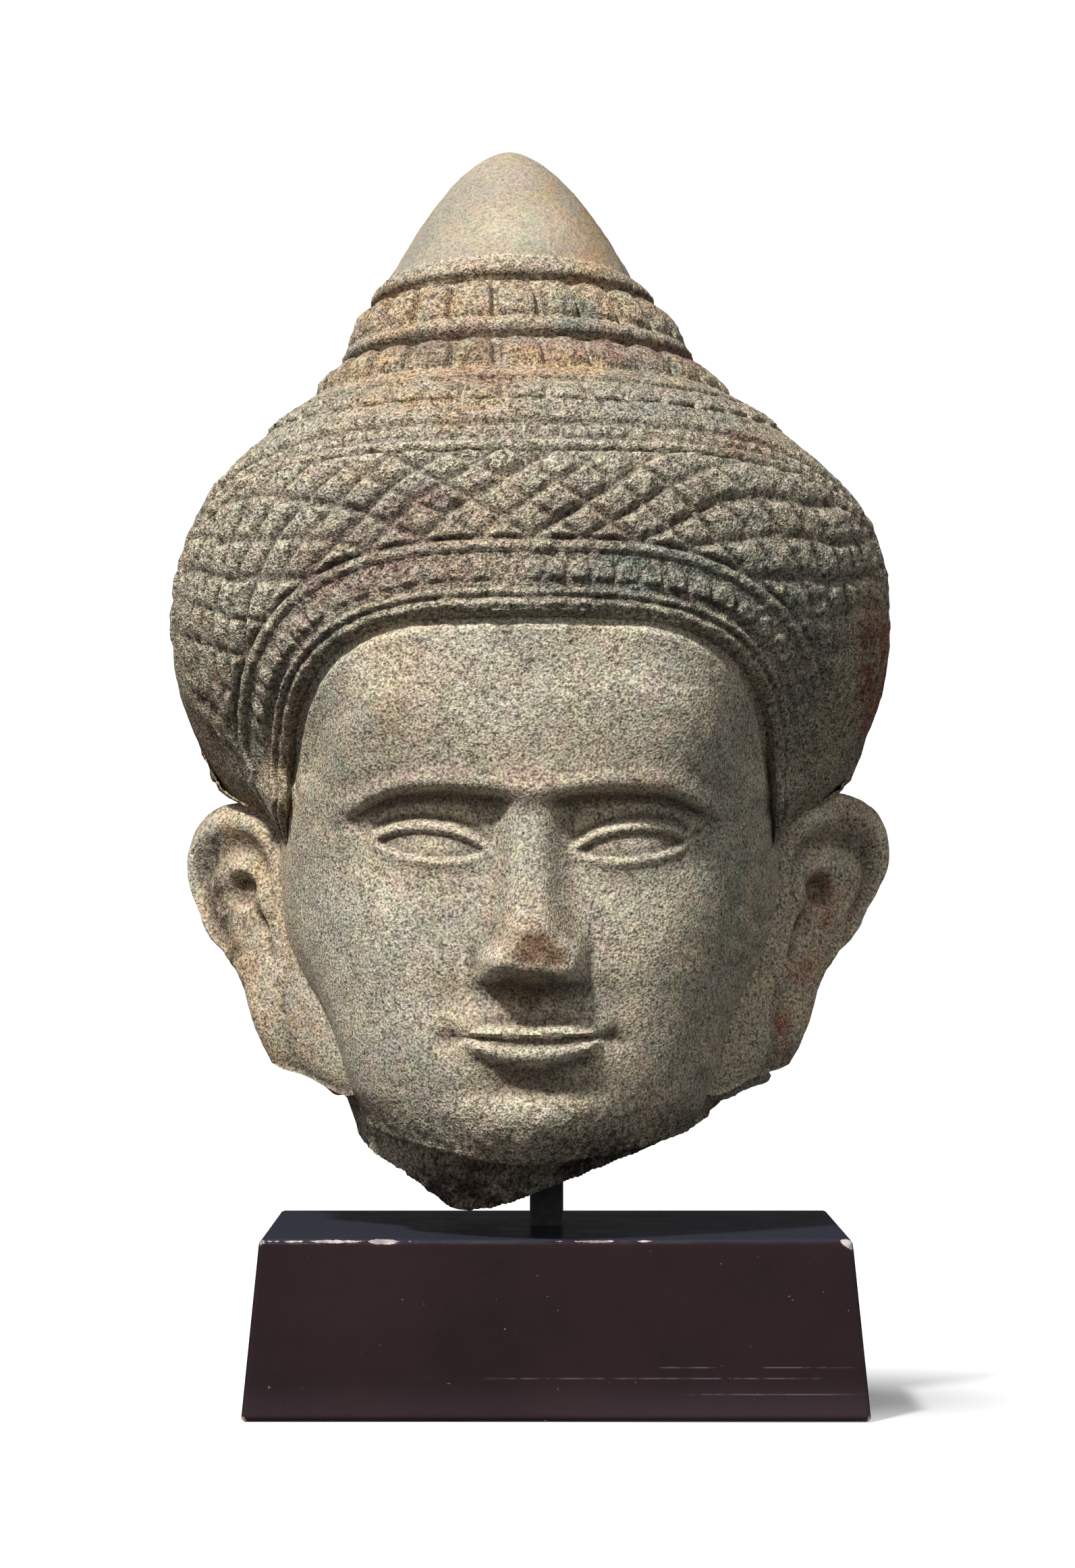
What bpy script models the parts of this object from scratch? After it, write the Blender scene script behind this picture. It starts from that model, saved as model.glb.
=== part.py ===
"""A carved sandstone head in a diadem and conical headdress, broken at the neck.

A steel rod holds it just above a lacquered wooden plinth. Metres, +Z up, the face looks along -Y.
The origin is the middle of the plinth's underside.
"""

import math

import bmesh
import bpy
import numpy as np

# Driving dimensions, in metres
HEAD_HEIGHT = 0.3815
HEAD_LEFT_OF_CENTRE = 0.0085
STONE_ABOVE_PLINTH = 0.0065
PLINTH_BASE_WIDTH = 0.216
PLINTH_BASE_DEPTH = 0.172
PLINTH_TOP_WIDTH = 0.204
PLINTH_TOP_DEPTH = 0.160
PLINTH_HEIGHT = 0.062
PLINTH_EDGE_ROUND = 0.0018
ROD_WIDTH = 0.012
ROD_LEFT_OF_CENTRE = 0.003
ROD_DEPTH_IN_PLINTH = 0.045
ROD_DEPTH_IN_STONE = 0.062
ROD_CHAMFER = 0.0006
FIT_GAP = 0.0003

# Colours as linear RGB, with roughness and metallic
STONE_FINISH = ((0.33, 0.28, 0.21), 0.93, 0.0)
LACQUER_FINISH = ((0.026, 0.015, 0.017), 0.22, 0.0)
STEEL_FINISH = ((0.012, 0.012, 0.014), 0.45, 0.3)

# The carving is set out in parts of the head's own height. CARVED_HEIGHT parts make the whole head,
# so that one part is a millimetre on the stone at its real size.
CARVED_HEIGHT = 381.5
PART = HEAD_HEIGHT / CARVED_HEIGHT

# Mesh density, and the triangles that the carved stone is brought down to
COLUMNS = 232
FRONT_CROWDING = 0.42
ROW_STEP = 2.2
CAP_ROWS = 12
STONE_TRIANGLES = 9100
EAR_SPOKES = 34
EAR_RINGS = 9

# Heights of the headdress, in parts above the lowest point of the neck
TIP = CARVED_HEIGHT
CONE_BASE = 331.8
CONE_RADIUS = 43.2
CONE_SWELL = 0.73
CROWN_HEM = 149.0
ARCH_FOOT = 130.0
ARCH_HALF_WIDTH = 86.0
CROWN_FOOT = ARCH_FOOT + 3.0
HEM_TO_FOOT = CROWN_HEM - CROWN_FOOT
JAW = 50.0
NECK_TOP = 41.0

# Half width of the headdress at the sides, as (height, half width), from the cone's foot down
SIDE_PROFILE = (
    (CONE_BASE, CONE_RADIUS), (330.6, 45.5), (329.0, 49.0), (327.0, 50.6), (325.0, 50.2), (323.8, 49.2),
    (322.6, 50.6), (318.0, 54.6), (312.0, 58.6), (308.6, 59.6), (307.4, 59.2), (306.4, 60.8),
    (304.6, 62.8), (302.6, 63.6), (300.6, 63.2), (299.6, 63.0), (298.4, 66.4), (294.6, 70.6),
    (291.6, 73.0), (290.4, 73.2), (288.6, 74.4), (286.0, 79.0), (281.5, 86.0), (276.6, 91.2),
    (275.0, 92.6), (272.0, 96.6), (266.5, 103.2), (259.5, 110.2), (252.5, 116.2), (245.5, 120.1),
    (238.0, 122.8), (230.5, 125.4), (223.5, 127.0), (215.5, 128.2), (208.5, 128.8), (201.5, 128.6),
    (194.5, 128.0), (187.0, 127.0), (179.5, 125.0), (172.5, 122.2), (165.0, 119.0), (157.5, 115.4),
    (CROWN_HEM, 111.8), (CROWN_HEM - 0.19 * HEM_TO_FOOT, 108.0),
    (CROWN_HEM - 0.47 * HEM_TO_FOOT, ARCH_HALF_WIDTH + 14.0),
    (CROWN_FOOT + 0.28 * HEM_TO_FOOT, ARCH_HALF_WIDTH + 7.5), (CROWN_FOOT, ARCH_HALF_WIDTH + 4.5),
)
# Shares and places of the crown's rings, as (height, value), highest first
CROWN_FRONT_SHARE = ((TIP, 1.0), (291, 1.02), (275, 1.0), (267, 0.955), (253, 0.9), (235, 0.87), (190, 0.868),
                     (165, 0.855), (CROWN_HEM, 0.89), (CROWN_FOOT + 0.25 * HEM_TO_FOOT, 1.06),
                     (CROWN_FOOT, 1.11))
CROWN_BACK_SHARE = ((TIP, 1.0), (291, 1.0), (267, 0.95), (235, 0.92), (205, 0.9), (CROWN_HEM, 0.96),
                    (CROWN_FOOT + 0.25 * HEM_TO_FOOT, 1.03))
CROWN_FRONT_SQUARE = ((TIP, 2.0), (267, 2.0), (250, 2.1), (235, 2.1), (215, 2.0), (205, 1.95), (196, 1.85),
                      (178, 1.65), (160, 1.55), (CROWN_HEM, 1.5), (CROWN_FOOT + 0.25 * HEM_TO_FOOT, 2.2),
                      (CROWN_FOOT, 2.35))
RING_CENTRE_X = ((TIP, -7.9), (CONE_BASE, -7.2), (315, -5.6), (298, -4.0), (284, -2.5), (268, -1.5),
                 (250, 0.0))
RING_CENTRE_Y = ((TIP, 15.8), (CONE_BASE, 12.0), (291, 12.0), (268, 10.0), (245, 5.0))
RING_PITCH = ((TIP, 4.3), (265, 4.3), (235, 2.1), (205, 0.0), (110, 0.0), (90, -4.0), (78, -8.0), (64, -13.0),
              (JAW, -18.0), (NECK_TOP, -17.0))

# The face and the head behind it, as (height of the ring at the ears, value). The face fills the opening.
FACE_HALF_WIDTH = tuple((height, ARCH_HALF_WIDTH + more) for height, more in (
    (215, -6.0), (200, -4.0), (180, -1.0), (160, 1.5), (140, 3.5), (120, 4.0), (100, 3.5), (84, 2.5),
    (70, 1.5), (57, 0.0), (JAW, -1.5)))
FACE_FRONT = ((215, 103.5), (205, 105.0), (190, 106.5), (178, 106.5), (155, 105.0), (140, 100.5), (120, 99.5),
              (100, 100.5), (90, 102.3), (78, 104.5), (64, 107.0), (57, 106.0), (JAW, 100.0))
FACE_BACK = ((215, 117.0), (150, 97.0), (140, 95.0), (120, 92.0), (100, 86.0), (84, 80.0), (64, 74.0),
             (JAW, 71.0))
FACE_SQUARE = ((215, 2.6), (160, 2.5), (120, 2.3), (90, 2.05), (70, 1.85), (JAW, 1.6))
BACK_SQUARE = 2.15
# The hollow between the cheek and the ear's lobe, which rounds the jaw
JAW_HOLLOW, JAW_HOLLOW_AT_DEG, JAW_HOLLOW_SPREAD_DEG, JAW_HOLLOW_TOP = 15.0, 66.0, 17.0, 105.0
NECK_LEFT, NECK_RIGHT, NECK_FRONT, NECK_BACK = 67.0, 88.0, 67.0, 69.0
NECK_X, NECK_Y = 2.0, 4.0
NECK_RISE_BACKWARDS = 0.23
NECK_DEPTH = 60.0
NECK_ROWS = 9

# The broken underside: its outline seen from the front, as (sideways, height), and its rise to the back
BREAK_OUTLINE = ((-66, 36), (-62.5, 29), (-61.5, 22), (-51.5, 15.2), (-37.3, 8.6), (-28.8, 1.7), (-21.6, 0),
                 (-13.5, 1.9), (-4.8, 5.3), (11.5, 11.7), (22.5, 15.8), (38.8, 22.6), (54.5, 29.2),
                 (71.3, 35.7), (86, 42))
BREAK_RISE_BACKWARDS = 0.10
BREAK_ROUGHNESS = 1.6

# The opening of the diadem round the face: a rounded arch on two upright legs
ARCH_TOP, ARCH_SQUARE = 207.8, 3.2
ARCH_EDGE = 2.6
ABOVE_ARCH = 215.0
FACE_HALF_DEG = 85.0
FAR_FROM_ARCH = 200.0
# The diadem's outer border: level above the face, and then upright down the temples to behind the ears
BORDER_TOP = 268.3
BORDER_TURN_DEG, BORDER_SQUARE = 84.0, 4.6
BORDER_FOOT = ARCH_FOOT + 14.0

# Bands of the diadem, as distances outwards from the opening's edge, and inwards from the outer border
HEM_ROLLS = (5.0, 9.0)
HEM_ROLL_HALF_WIDTH, HEM_ROLL_HEIGHT = 1.6, 1.5
TABS_FROM, TABS_TO, TAB_PITCH, TAB_HEIGHT = 12.0, 21.5, 7.6, 1.9
MIDDLE_ROLL, MIDDLE_ROLL_HALF_WIDTH, MIDDLE_ROLL_HEIGHT = 24.6, 2.0, 1.9
LOZENGES_FROM, LOZENGE_LENGTH, LOZENGE_HEIGHT = 28.0, 33.0, 2.6
BORDER_ROLL_HALF_WIDTH, BORDER_ROLL_HEIGHT = 2.6, 2.2
INNER_ROLL_FROM_BORDER, INNER_ROLL_HALF_WIDTH, INNER_ROLL_HEIGHT = 12.5, 2.2, 2.0
LOZENGES_FROM_BORDER = 15.5
PLAIN_ABOVE = BORDER_TOP + 6

# Tiers of petals, as (top, foot, number, depth of the cuts)
PETAL_TIERS = ((322.8, 308.0, 22, 3.0), (298.8, 289.8, 26, 3.0), (284.5, 275.6, 44, 1.5))

# The face keeps to thirds of its height and fifths of its width
FACE_TOP, CHIN = ARCH_TOP, 20.0
THIRD = (FACE_TOP - CHIN) / 3
BROW = FACE_TOP - THIRD
NOSE_FOOT = CHIN + THIRD
MOUTH = NOSE_FOOT - THIRD / 3
EYE = BROW - THIRD / 4
FIFTH = 2 * ARCH_HALF_WIDTH / 5
EYE_OUT = FIFTH
EYE_HALF_WIDTH = FIFTH / 2
MOUTH_HALF_WIDTH = 0.78 * FIFTH
NOSE_HALF_WIDTH = FIFTH / 2

# An ear is a leaf of stone that leaves the cheek at its front edge and spreads outwards and back
EAR_FOOT_X, EAR_FOOT_Y = ARCH_HALF_WIDTH + 2.0, -14.0
EAR_SPREAD_DEG = 42.0
EAR_THICKNESS = 11.0
EAR_MIDDLE = (15.0, 101.0)
EAR_UPPER_FROM, EAR_UPPER_TO = 92.0, 132.0
EAR_RIM_FROM, EAR_RIM_HEIGHT = 66.0, 3.0
EAR_FOLD_FROM, EAR_FOLD_HEIGHT = 92.0, 2.0
EAR_BOWL, EAR_BOWL_SIZE, EAR_BOWL_DEPTH = (17.0, 112.0), (8.5, 13.0), 6.5
EAR_FLAP, EAR_FLAP_SIZE, EAR_FLAP_HEIGHT = (1.0, 108.0), (5.0, 8.0), 3.4
LOBE_SLIT_FOOT, LOBE_SLIT_TOP, LOBE_SLIT_WIDTH, LOBE_SLIT_DEPTH = 56.0, 92.0, 3.0, 3.2
LOBE_SLIT_MIDDLE, LOBE_SLIT_SLANT = (1.0, 70.0), 0.28
EARS = (("right", 1, 0.2, 3.5), ("left", -1, 0.0, 0.0))
EAR_OUTLINE = ((28, 144), (36, 141), (43.8, 134.5), (47.4, 123.4), (44.3, 114), (39.6, 105.7), (34.6, 96.5),
               (27.5, 90.5), (21, 83), (15, 73), (12, 64), (8.5, 54), (1, 49.6), (-9, 50), (-13, 62),
               (-12, 80), (-8, 98), (-6, 116), (-2, 132), (10, 142))


def smooth_step(value):
    t = np.clip(value, 0.0, 1.0)
    return t * t * (3 - 2 * t)


def bump(distance, width):
    """A soft rise of height 1 at distance 0."""
    return np.exp(-((distance / width) ** 2))


def along(table, height):
    """The table's value at each height, joined by straight runs."""
    heights = [row[0] for row in table][::-1]
    values = [row[1] for row in table][::-1]
    return np.interp(height, heights, values)


def eased(table, height, spread=4.0):
    """The same with its corners eased, for the soft forms."""
    shifts = (-1.0, -0.5, 0.0, 0.5, 1.0)
    return sum(along(table, height + spread * shift) for shift in shifts) / len(shifts)


def uneven(x, y, z, size):
    """A smooth unevenness between about -1 and 1, whose swells are about this size."""
    k = 2 * math.pi / size
    waves = ((0.7, 0.5, 0.4, 0.3), (-0.5, 0.8, 0.3, 1.9), (0.4, -0.3, 0.9, 4.1), (-0.8, -0.6, 0.5, 2.6),
             (0.2, 0.9, -0.7, 5.3))
    return sum(np.sin(k * (a * x + b * y + c * z) + d) for a, b, c, d in waves) / len(waves) * 1.6


def crown_half_width(height):
    cone = CONE_RADIUS * (np.clip(TIP - height, 0, None) / (TIP - CONE_BASE)) ** CONE_SWELL
    return np.where(height >= CONE_BASE, cone, along(SIDE_PROFILE, height))


def ring_radius(turn, half_width, front, back, front_square, back_square):
    """Distance from a ring's centre to its edge, for a turn measured from the front."""
    across = np.abs(np.sin(turn))
    ahead = np.cos(turn)
    depth = np.where(ahead > 0, front, back)
    square = np.where(ahead > 0, front_square, back_square)
    return ((across / half_width) ** square + (np.abs(ahead) / depth) ** square) ** (-1 / square)


def crown_radius(turn, height):
    half_width = crown_half_width(height)
    front = half_width * eased(CROWN_FRONT_SHARE, height)
    back = half_width * eased(CROWN_BACK_SHARE, height)
    return ring_radius(turn, half_width, front, back, eased(CROWN_FRONT_SQUARE, height), BACK_SQUARE)


def face_radius(turn, height):
    half_width = eased(FACE_HALF_WIDTH, height)
    front, back = eased(FACE_FRONT, height), eased(FACE_BACK, height)
    radius = ring_radius(turn, half_width, front, back, eased(FACE_SQUARE, height), BACK_SQUARE)
    hollow = bump(np.abs(np.degrees(turn)) - JAW_HOLLOW_AT_DEG, JAW_HOLLOW_SPREAD_DEG)
    return radius - JAW_HOLLOW * hollow * smooth_step((JAW_HOLLOW_TOP - height) / (JAW_HOLLOW_TOP - JAW))


def placed(turn, height, radius):
    """Points on rings that lean back as the headdress does, or forwards as the jaw does."""
    pitch = np.radians(eased(RING_PITCH, height))
    ahead = radius * np.cos(turn)
    x = eased(RING_CENTRE_X, height) + radius * np.sin(turn)
    y = eased(RING_CENTRE_Y, height) - ahead * np.cos(pitch)
    return x, y, height + ahead * np.sin(pitch)


def arch_signed(x, z):
    """Below zero inside the diadem's opening, above zero outside it."""
    up = np.clip(z - ARCH_FOOT, 0, None) / (ARCH_TOP - ARCH_FOOT)
    return ((np.abs(x) / ARCH_HALF_WIDTH) ** ARCH_SQUARE + up**ARCH_SQUARE) ** (1 / ARCH_SQUARE) - 1


def spaced_line(turn, height, count):
    """Even points along a line on the crown, and the length along it to each."""
    points = np.stack(placed(turn, height, crown_radius(turn, height)), 1)
    length = np.concatenate([[0], np.cumsum(np.linalg.norm(np.diff(points, axis=0), axis=1))])
    even = np.linspace(0, length[-1], count)
    return np.stack([np.interp(even, length, points[:, k]) for k in range(3)], 1), even


def arch_line(count=401):
    """Even points along the edge of the opening, with the length along it from the middle."""
    angle = np.linspace(0, math.pi, 20 * count)
    x = ARCH_HALF_WIDTH * -np.sign(np.cos(angle)) * np.abs(np.cos(angle)) ** (2 / ARCH_SQUARE)
    height = ARCH_FOOT + (ARCH_TOP - ARCH_FOOT) * np.sin(angle) ** (2 / ARCH_SQUARE)
    half_width = crown_half_width(height)
    share = np.clip(np.abs(x) / half_width, 0, 1)
    square = eased(CROWN_FRONT_SQUARE, height)
    ahead = half_width * eased(CROWN_FRONT_SHARE, height) * (1 - share**square) ** (1 / square)
    points, length = spaced_line(np.arctan2(x, ahead), height, count)
    return points, length - length[-1] / 2


def border_line(count=401):
    """Even points along the diadem's outer border, from one foot over the face to the other."""
    angle = np.linspace(-math.pi / 2, math.pi / 2, 20 * count)
    reach = np.sign(angle) * np.abs(np.sin(angle)) ** (2 / BORDER_SQUARE)
    height = BORDER_FOOT + (BORDER_TOP - BORDER_FOOT) * np.abs(np.cos(angle)) ** (2 / BORDER_SQUARE)
    return spaced_line(math.radians(BORDER_TURN_DEG) * reach, height, count)


def border_signed(turn, height):
    """Below zero inside the diadem's outer border, above zero outside it."""
    up = np.clip(height - BORDER_FOOT, 0, None) / (BORDER_TOP - BORDER_FOOT)
    across = np.abs(turn) / math.radians(BORDER_TURN_DEG)
    return across**BORDER_SQUARE + up**BORDER_SQUARE - 1


def nearest_on(line, length, x, y, z):
    """Distance of each point from a line, and the place along the line nearest to it."""
    points = np.stack([x.ravel(), y.ravel(), z.ravel()], 1)
    nearest = np.empty(len(points), int)
    distance = np.empty(len(points))
    chunk = 20000
    for start in range(0, len(points), chunk):
        gaps = np.linalg.norm(points[start:start + chunk, None] - line[None], axis=2)
        nearest[start:start + chunk] = gaps.argmin(1)
        distance[start:start + chunk] = gaps.min(1)
    return distance.reshape(x.shape), length[nearest].reshape(x.shape)


def roll_moulding(distance, half_width, raised):
    """A half-round moulding that runs along distance 0."""
    inside = np.clip(1 - (distance / half_width) ** 2, 0, None)
    return raised * np.sqrt(inside)


def petals(turn, height):
    """The cuts between the petals of the three tiers, as depths below their faces."""
    cut = np.zeros_like(turn)
    for top, foot, count, depth in PETAL_TIERS:
        across = np.abs((turn * count / (2 * math.pi)) % 1.0 - 0.5) * 2
        down = (top - height) / (top - foot)
        shoulder = np.clip((0.42 - down) / 0.42, 0, 1)
        edge = across**4.5 + 0.85 * shoulder**3
        inside = smooth_step((1 - edge) / 0.5)
        tier = smooth_step((top + 0.8 - height) / 0.8) * smooth_step((height - foot + 0.6) / 0.6)
        cut += depth * (1 - inside) * tier
    return cut


def lozenges(along_band, share):
    """Crossing cuts that leave large lozenges, quartered by shallower cuts. share is 0 to 1 over the band."""
    cut = np.zeros_like(share)
    for slant in (1, -1):
        line = along_band / LOZENGE_LENGTH + slant * share
        main = np.abs((line + 0.5) % 1.0 - 0.5)
        half = np.abs((2 * line + 0.5) % 1.0 - 0.5)
        cut = np.maximum(cut, np.clip(1 - main / 0.085, 0, 1))
        cut = np.maximum(cut, 0.7 * np.clip(1 - half / 0.14, 0, 1))
    return -cut


def diadem_relief(height, distance, along_edge, inside_border):
    """Mouldings, tabs and lozenges that stand on the crown, as heights above it."""
    relief = np.zeros_like(distance)
    for place in HEM_ROLLS:
        relief += roll_moulding(distance - place, HEM_ROLL_HALF_WIDTH, HEM_ROLL_HEIGHT)
    across = np.abs((along_edge / TAB_PITCH) % 1.0 - 0.5) * 2
    down = (distance - TABS_FROM) / (TABS_TO - TABS_FROM)
    tab = smooth_step((1 - across**3 - np.clip((down - 0.6) / 0.4, 0, 1) ** 2) / 0.5)
    relief += TAB_HEIGHT * tab * smooth_step(down / 0.15) * smooth_step((1 - down) / 0.12)
    relief += roll_moulding(distance - MIDDLE_ROLL, MIDDLE_ROLL_HALF_WIDTH, MIDDLE_ROLL_HEIGHT)
    inner, outer = distance - LOZENGES_FROM, inside_border - LOZENGES_FROM_BORDER
    in_band = smooth_step(inner / 2.5) * smooth_step(outer / 2.5)
    share = np.clip(inner, 0, None) / np.clip(np.clip(inner, 0, None) + np.clip(outer, 0, None), 1, None)
    relief += in_band * LOZENGE_HEIGHT * (1 + lozenges(along_edge, share))
    relief *= np.where(distance > 0, 1.0, 0.0) * smooth_step((height - ARCH_FOOT - 10) / 8)
    relief *= smooth_step(outer / 2.5)
    border = roll_moulding(inside_border, BORDER_ROLL_HALF_WIDTH, BORDER_ROLL_HEIGHT)
    within = inside_border - INNER_ROLL_FROM_BORDER
    border += roll_moulding(within, INNER_ROLL_HALF_WIDTH, INNER_ROLL_HEIGHT)
    return np.maximum(relief, border * smooth_step((height - BORDER_FOOT - 4) / 16))


def back_hem(turn, height):
    """A plain border along the crown's lower edge, behind the ears."""
    behind = smooth_step((np.abs(turn) - math.radians(80)) / math.radians(12))
    rolls = roll_moulding(height - CROWN_HEM - 5, 2.4, 1.8) + roll_moulding(height - CROWN_HEM - 12, 2.0, 1.6)
    return behind * rolls


def brow_line(side):
    """Height of the brow at a distance from the middle."""
    return BROW + 3.2 * np.sin(np.clip(side / 62, 0, 1) * math.pi) - 5.5 * smooth_step((side - 44) / 26)


def eye_form(side, z):
    """The brow, the socket, the ball of the eye and its lids, as heights towards the viewer."""
    brow = brow_line(side)
    fade = smooth_step((76 - side) / 20)
    ridge = 2.0 * bump(z - brow - 2.5, 5.0) * fade
    under = smooth_step((brow - z + 0.6) / 4.0) * smooth_step((z - (NOSE_FOOT + 22)) / 34)
    socket = -6.0 * under * smooth_step((side - 3) / 12) * smooth_step((72 - side) / 28)
    reach = (side - EYE_OUT) / EYE_HALF_WIDTH
    line = EYE + 1.2 * reach
    ball = 5.4 * bump(side - EYE_OUT, 17.5) * bump(z - line, 11.5)
    opening = np.clip(1 - reach**2, 0, None) ** 0.75
    upper, lower = line + 7.4 * opening, line - 5.2 * opening
    open_part = smooth_step((upper - z) / 1.6) * smooth_step((z - lower) / 1.6) * (opening > 0)
    near = smooth_step((1.16 - np.abs(reach)) / 0.16)
    lids = 1.3 * (bump(z - upper - 1.2, 1.7) + 0.8 * bump(z - lower + 1.2, 1.7)) * near
    crease = -1.1 * bump(z - upper - 5.2, 1.6) * near
    return ridge + socket + ball - 1.9 * open_part + lids + crease


def nose_form(x, z):
    """The nose, with its tip broken off."""
    profile = ((BROW + 14, 0.0), (BROW + 4, 2.6), (BROW - 4, 4.2), (EYE, 7.2), (EYE - 14, 12.5),
               (NOSE_FOOT + 18, 18.6), (NOSE_FOOT + 10, 22.0), (NOSE_FOOT + 5, 21.0), (NOSE_FOOT + 1.5, 14.0),
               (NOSE_FOOT - 2.5, 3.0), (NOSE_FOOT - 6, 0.0))
    widths = ((BROW + 14, 12.0), (BROW, 9.5), (EYE, 7.8), (EYE - 16, 8.8), (NOSE_FOOT + 16, 11.5),
              (NOSE_FOOT, 12.5))
    ridge = eased(profile, z, 1.5) / (1 + (np.abs(x) / eased(widths, z, 3)) ** 3.4)
    side = np.abs(x)
    wing = 8.6 * bump(side - 0.72 * NOSE_HALF_WIDTH, 5.4) * bump(z - NOSE_FOOT - 6.5, 6.2)
    wing *= smooth_step((z - NOSE_FOOT + 2.5) / 3)
    groove = -1.6 * bump(side - 1.18 * NOSE_HALF_WIDTH, 2.6) * bump(z - NOSE_FOOT - 6.5, 8.0)
    nostril = -3.0 * bump(side - 0.46 * NOSE_HALF_WIDTH, 3.0) * bump(z - NOSE_FOOT + 0.5, 2.6)
    whole = ridge + wing
    broken_face = 17.4 - 0.34 * (x - 2) + 0.12 * (z - NOSE_FOOT - 8) + 0.5 * uneven(x, 0 * x, z, 7)
    return np.minimum(whole, broken_face) + groove + nostril


def mouth_form(x, z):
    """Closed lips, the groove above them and the chin below."""
    side = np.abs(x)
    reach = x / MOUTH_HALF_WIDTH
    line = MOUTH + 1.6 * reach**2
    mound = 4.6 * bump(x, 31) * bump(z - MOUTH, 16)
    taper = np.clip(1 - reach**2, 0, None)
    bow = 7.2 * taper**0.8 - 1.5 * bump(x, 4.5)
    upper = 3.2 * smooth_step((line + bow - z) / 2.4) * smooth_step((z - line) / 1.8)
    upper *= smooth_step(taper / 0.35)
    full = 9.2 * taper**0.7
    lower = 3.9 * smooth_step((z - line + full) / 3.2) * smooth_step((line - z) / 1.8)
    lower *= smooth_step(taper / 0.3)
    parting = -1.9 * bump(z - line, 1.3) * smooth_step((1.08 - np.abs(reach)) / 0.1)
    corner = -2.6 * bump(side - MOUTH_HALF_WIDTH - 2, 4.2) * bump(z - MOUTH - 1.5, 4.2)
    philtrum = (0.9 * bump(side - 4.6, 2.0) - 1.3 * bump(x, 2.6)) * bump(z - MOUTH - 14, 5.5)
    under_lip = -2.8 * bump(x, 19) * bump(z - MOUTH + 15, 5.0)
    chin = 4.0 * bump(x, 19) * bump(z - CHIN - 14, 11)
    return mound + upper + lower + parting + corner + philtrum + under_lip + chin


def face_form(x, z):
    """All that stands out from or sinks into the plain oval of the face, towards the viewer."""
    side = np.abs(x)
    cheek = 3.4 * bump(side - 49, 19) * bump(z - NOSE_FOOT - 17, 21)
    temple = -1.5 * bump(side - 74, 10) * bump(z - BROW - 18, 20)
    fold = -1.2 * bump(side - 27 - 0.25 * (NOSE_FOOT - z), 5) * bump(z - NOSE_FOOT + 6, 11)
    return eye_form(side, z) + nose_form(x, z) + mouth_form(x, z) + cheek + temple + fold


def break_height(x, y):
    """Height of the broken underside."""
    sideways = [row[0] for row in BREAK_OUTLINE]
    heights = [row[1] for row in BREAK_OUTLINE]
    front = NECK_Y - NECK_FRONT * np.sqrt(np.clip(1 - (x / NECK_RIGHT) ** 2, 0, 1))
    rise = BREAK_RISE_BACKWARDS * np.clip(y - front, 0, None)
    rough = BREAK_ROUGHNESS * np.clip(uneven(x, y, 0 * x, 26) + 0.4 * uneven(y, x, 0 * x, 11), 0, None)
    return np.interp(x, sideways, heights) + rise + rough


def ring_heights():
    """Heights of the rows of points, closer where the profile turns, from just under the tip to the jaw."""
    knots = [TIP - 0.4, TIP - 1.6, TIP - 4.0]
    stretch = [(h, crown_half_width(np.array(float(h)))) for h in np.arange(TIP - 4.0, CONE_BASE, -0.5)]
    stretch += [(h, w) for h, w in SIDE_PROFILE] + [(JAW, 76.0)]
    walked = 0.0
    for (high, wide), (low, narrow) in zip(stretch, stretch[1:]):
        length = math.hypot(high - low, float(narrow) - float(wide))
        while walked + ROW_STEP <= length:
            walked += ROW_STEP
            knots.append(high + (low - high) * walked / length)
        walked -= length
    knots.append(JAW)
    return np.array(knots)


def stone_rows():
    """The rows of points from the tip to the jaw, as arrays of shape (rows, columns)."""
    even = np.linspace(-math.pi, math.pi, COLUMNS, endpoint=False)
    turns = even - FRONT_CROWDING * np.sin(even)
    height, turn = np.meshgrid(ring_heights(), turns, indexing="ij")
    in_front = np.abs(turn) < math.radians(FACE_HALF_DEG)
    crown = crown_radius(turn, height)
    x, y, z = placed(turn, height, crown)
    distance, along_edge = nearest_on(*arch_line(), x, y, z)
    distance = np.where(in_front, distance * np.where(arch_signed(x, z) > 0, 1.0, -1.0), FAR_FROM_ARCH)
    inside_border = nearest_on(*border_line(), x, y, z)[0]
    inside_border *= np.where(border_signed(turn, height) < 0, 1.0, -1.0)
    carved = diadem_relief(height, distance, along_edge, inside_border)
    carved = np.where(height > PLAIN_ABOVE, 0.0, carved) + back_hem(turn, height) - petals(turn, height)
    outside = smooth_step((distance + ARCH_EDGE) / ARCH_EDGE) * smooth_step((height - ARCH_FOOT - 2) / 10)
    covered = np.where(in_front, outside, smooth_step((height - ARCH_FOOT) / 8))
    covered = np.where(height > ABOVE_ARCH, 1.0, covered)
    inner = face_radius(turn, height)
    x, y, z = placed(turn, height, inner + (crown + carved - inner) * covered)
    in_face = np.where(in_front, 1 - covered, 0.0) * smooth_step(np.cos(turn) / 0.25)
    return x, y - face_form(x, z) * in_face, z


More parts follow.
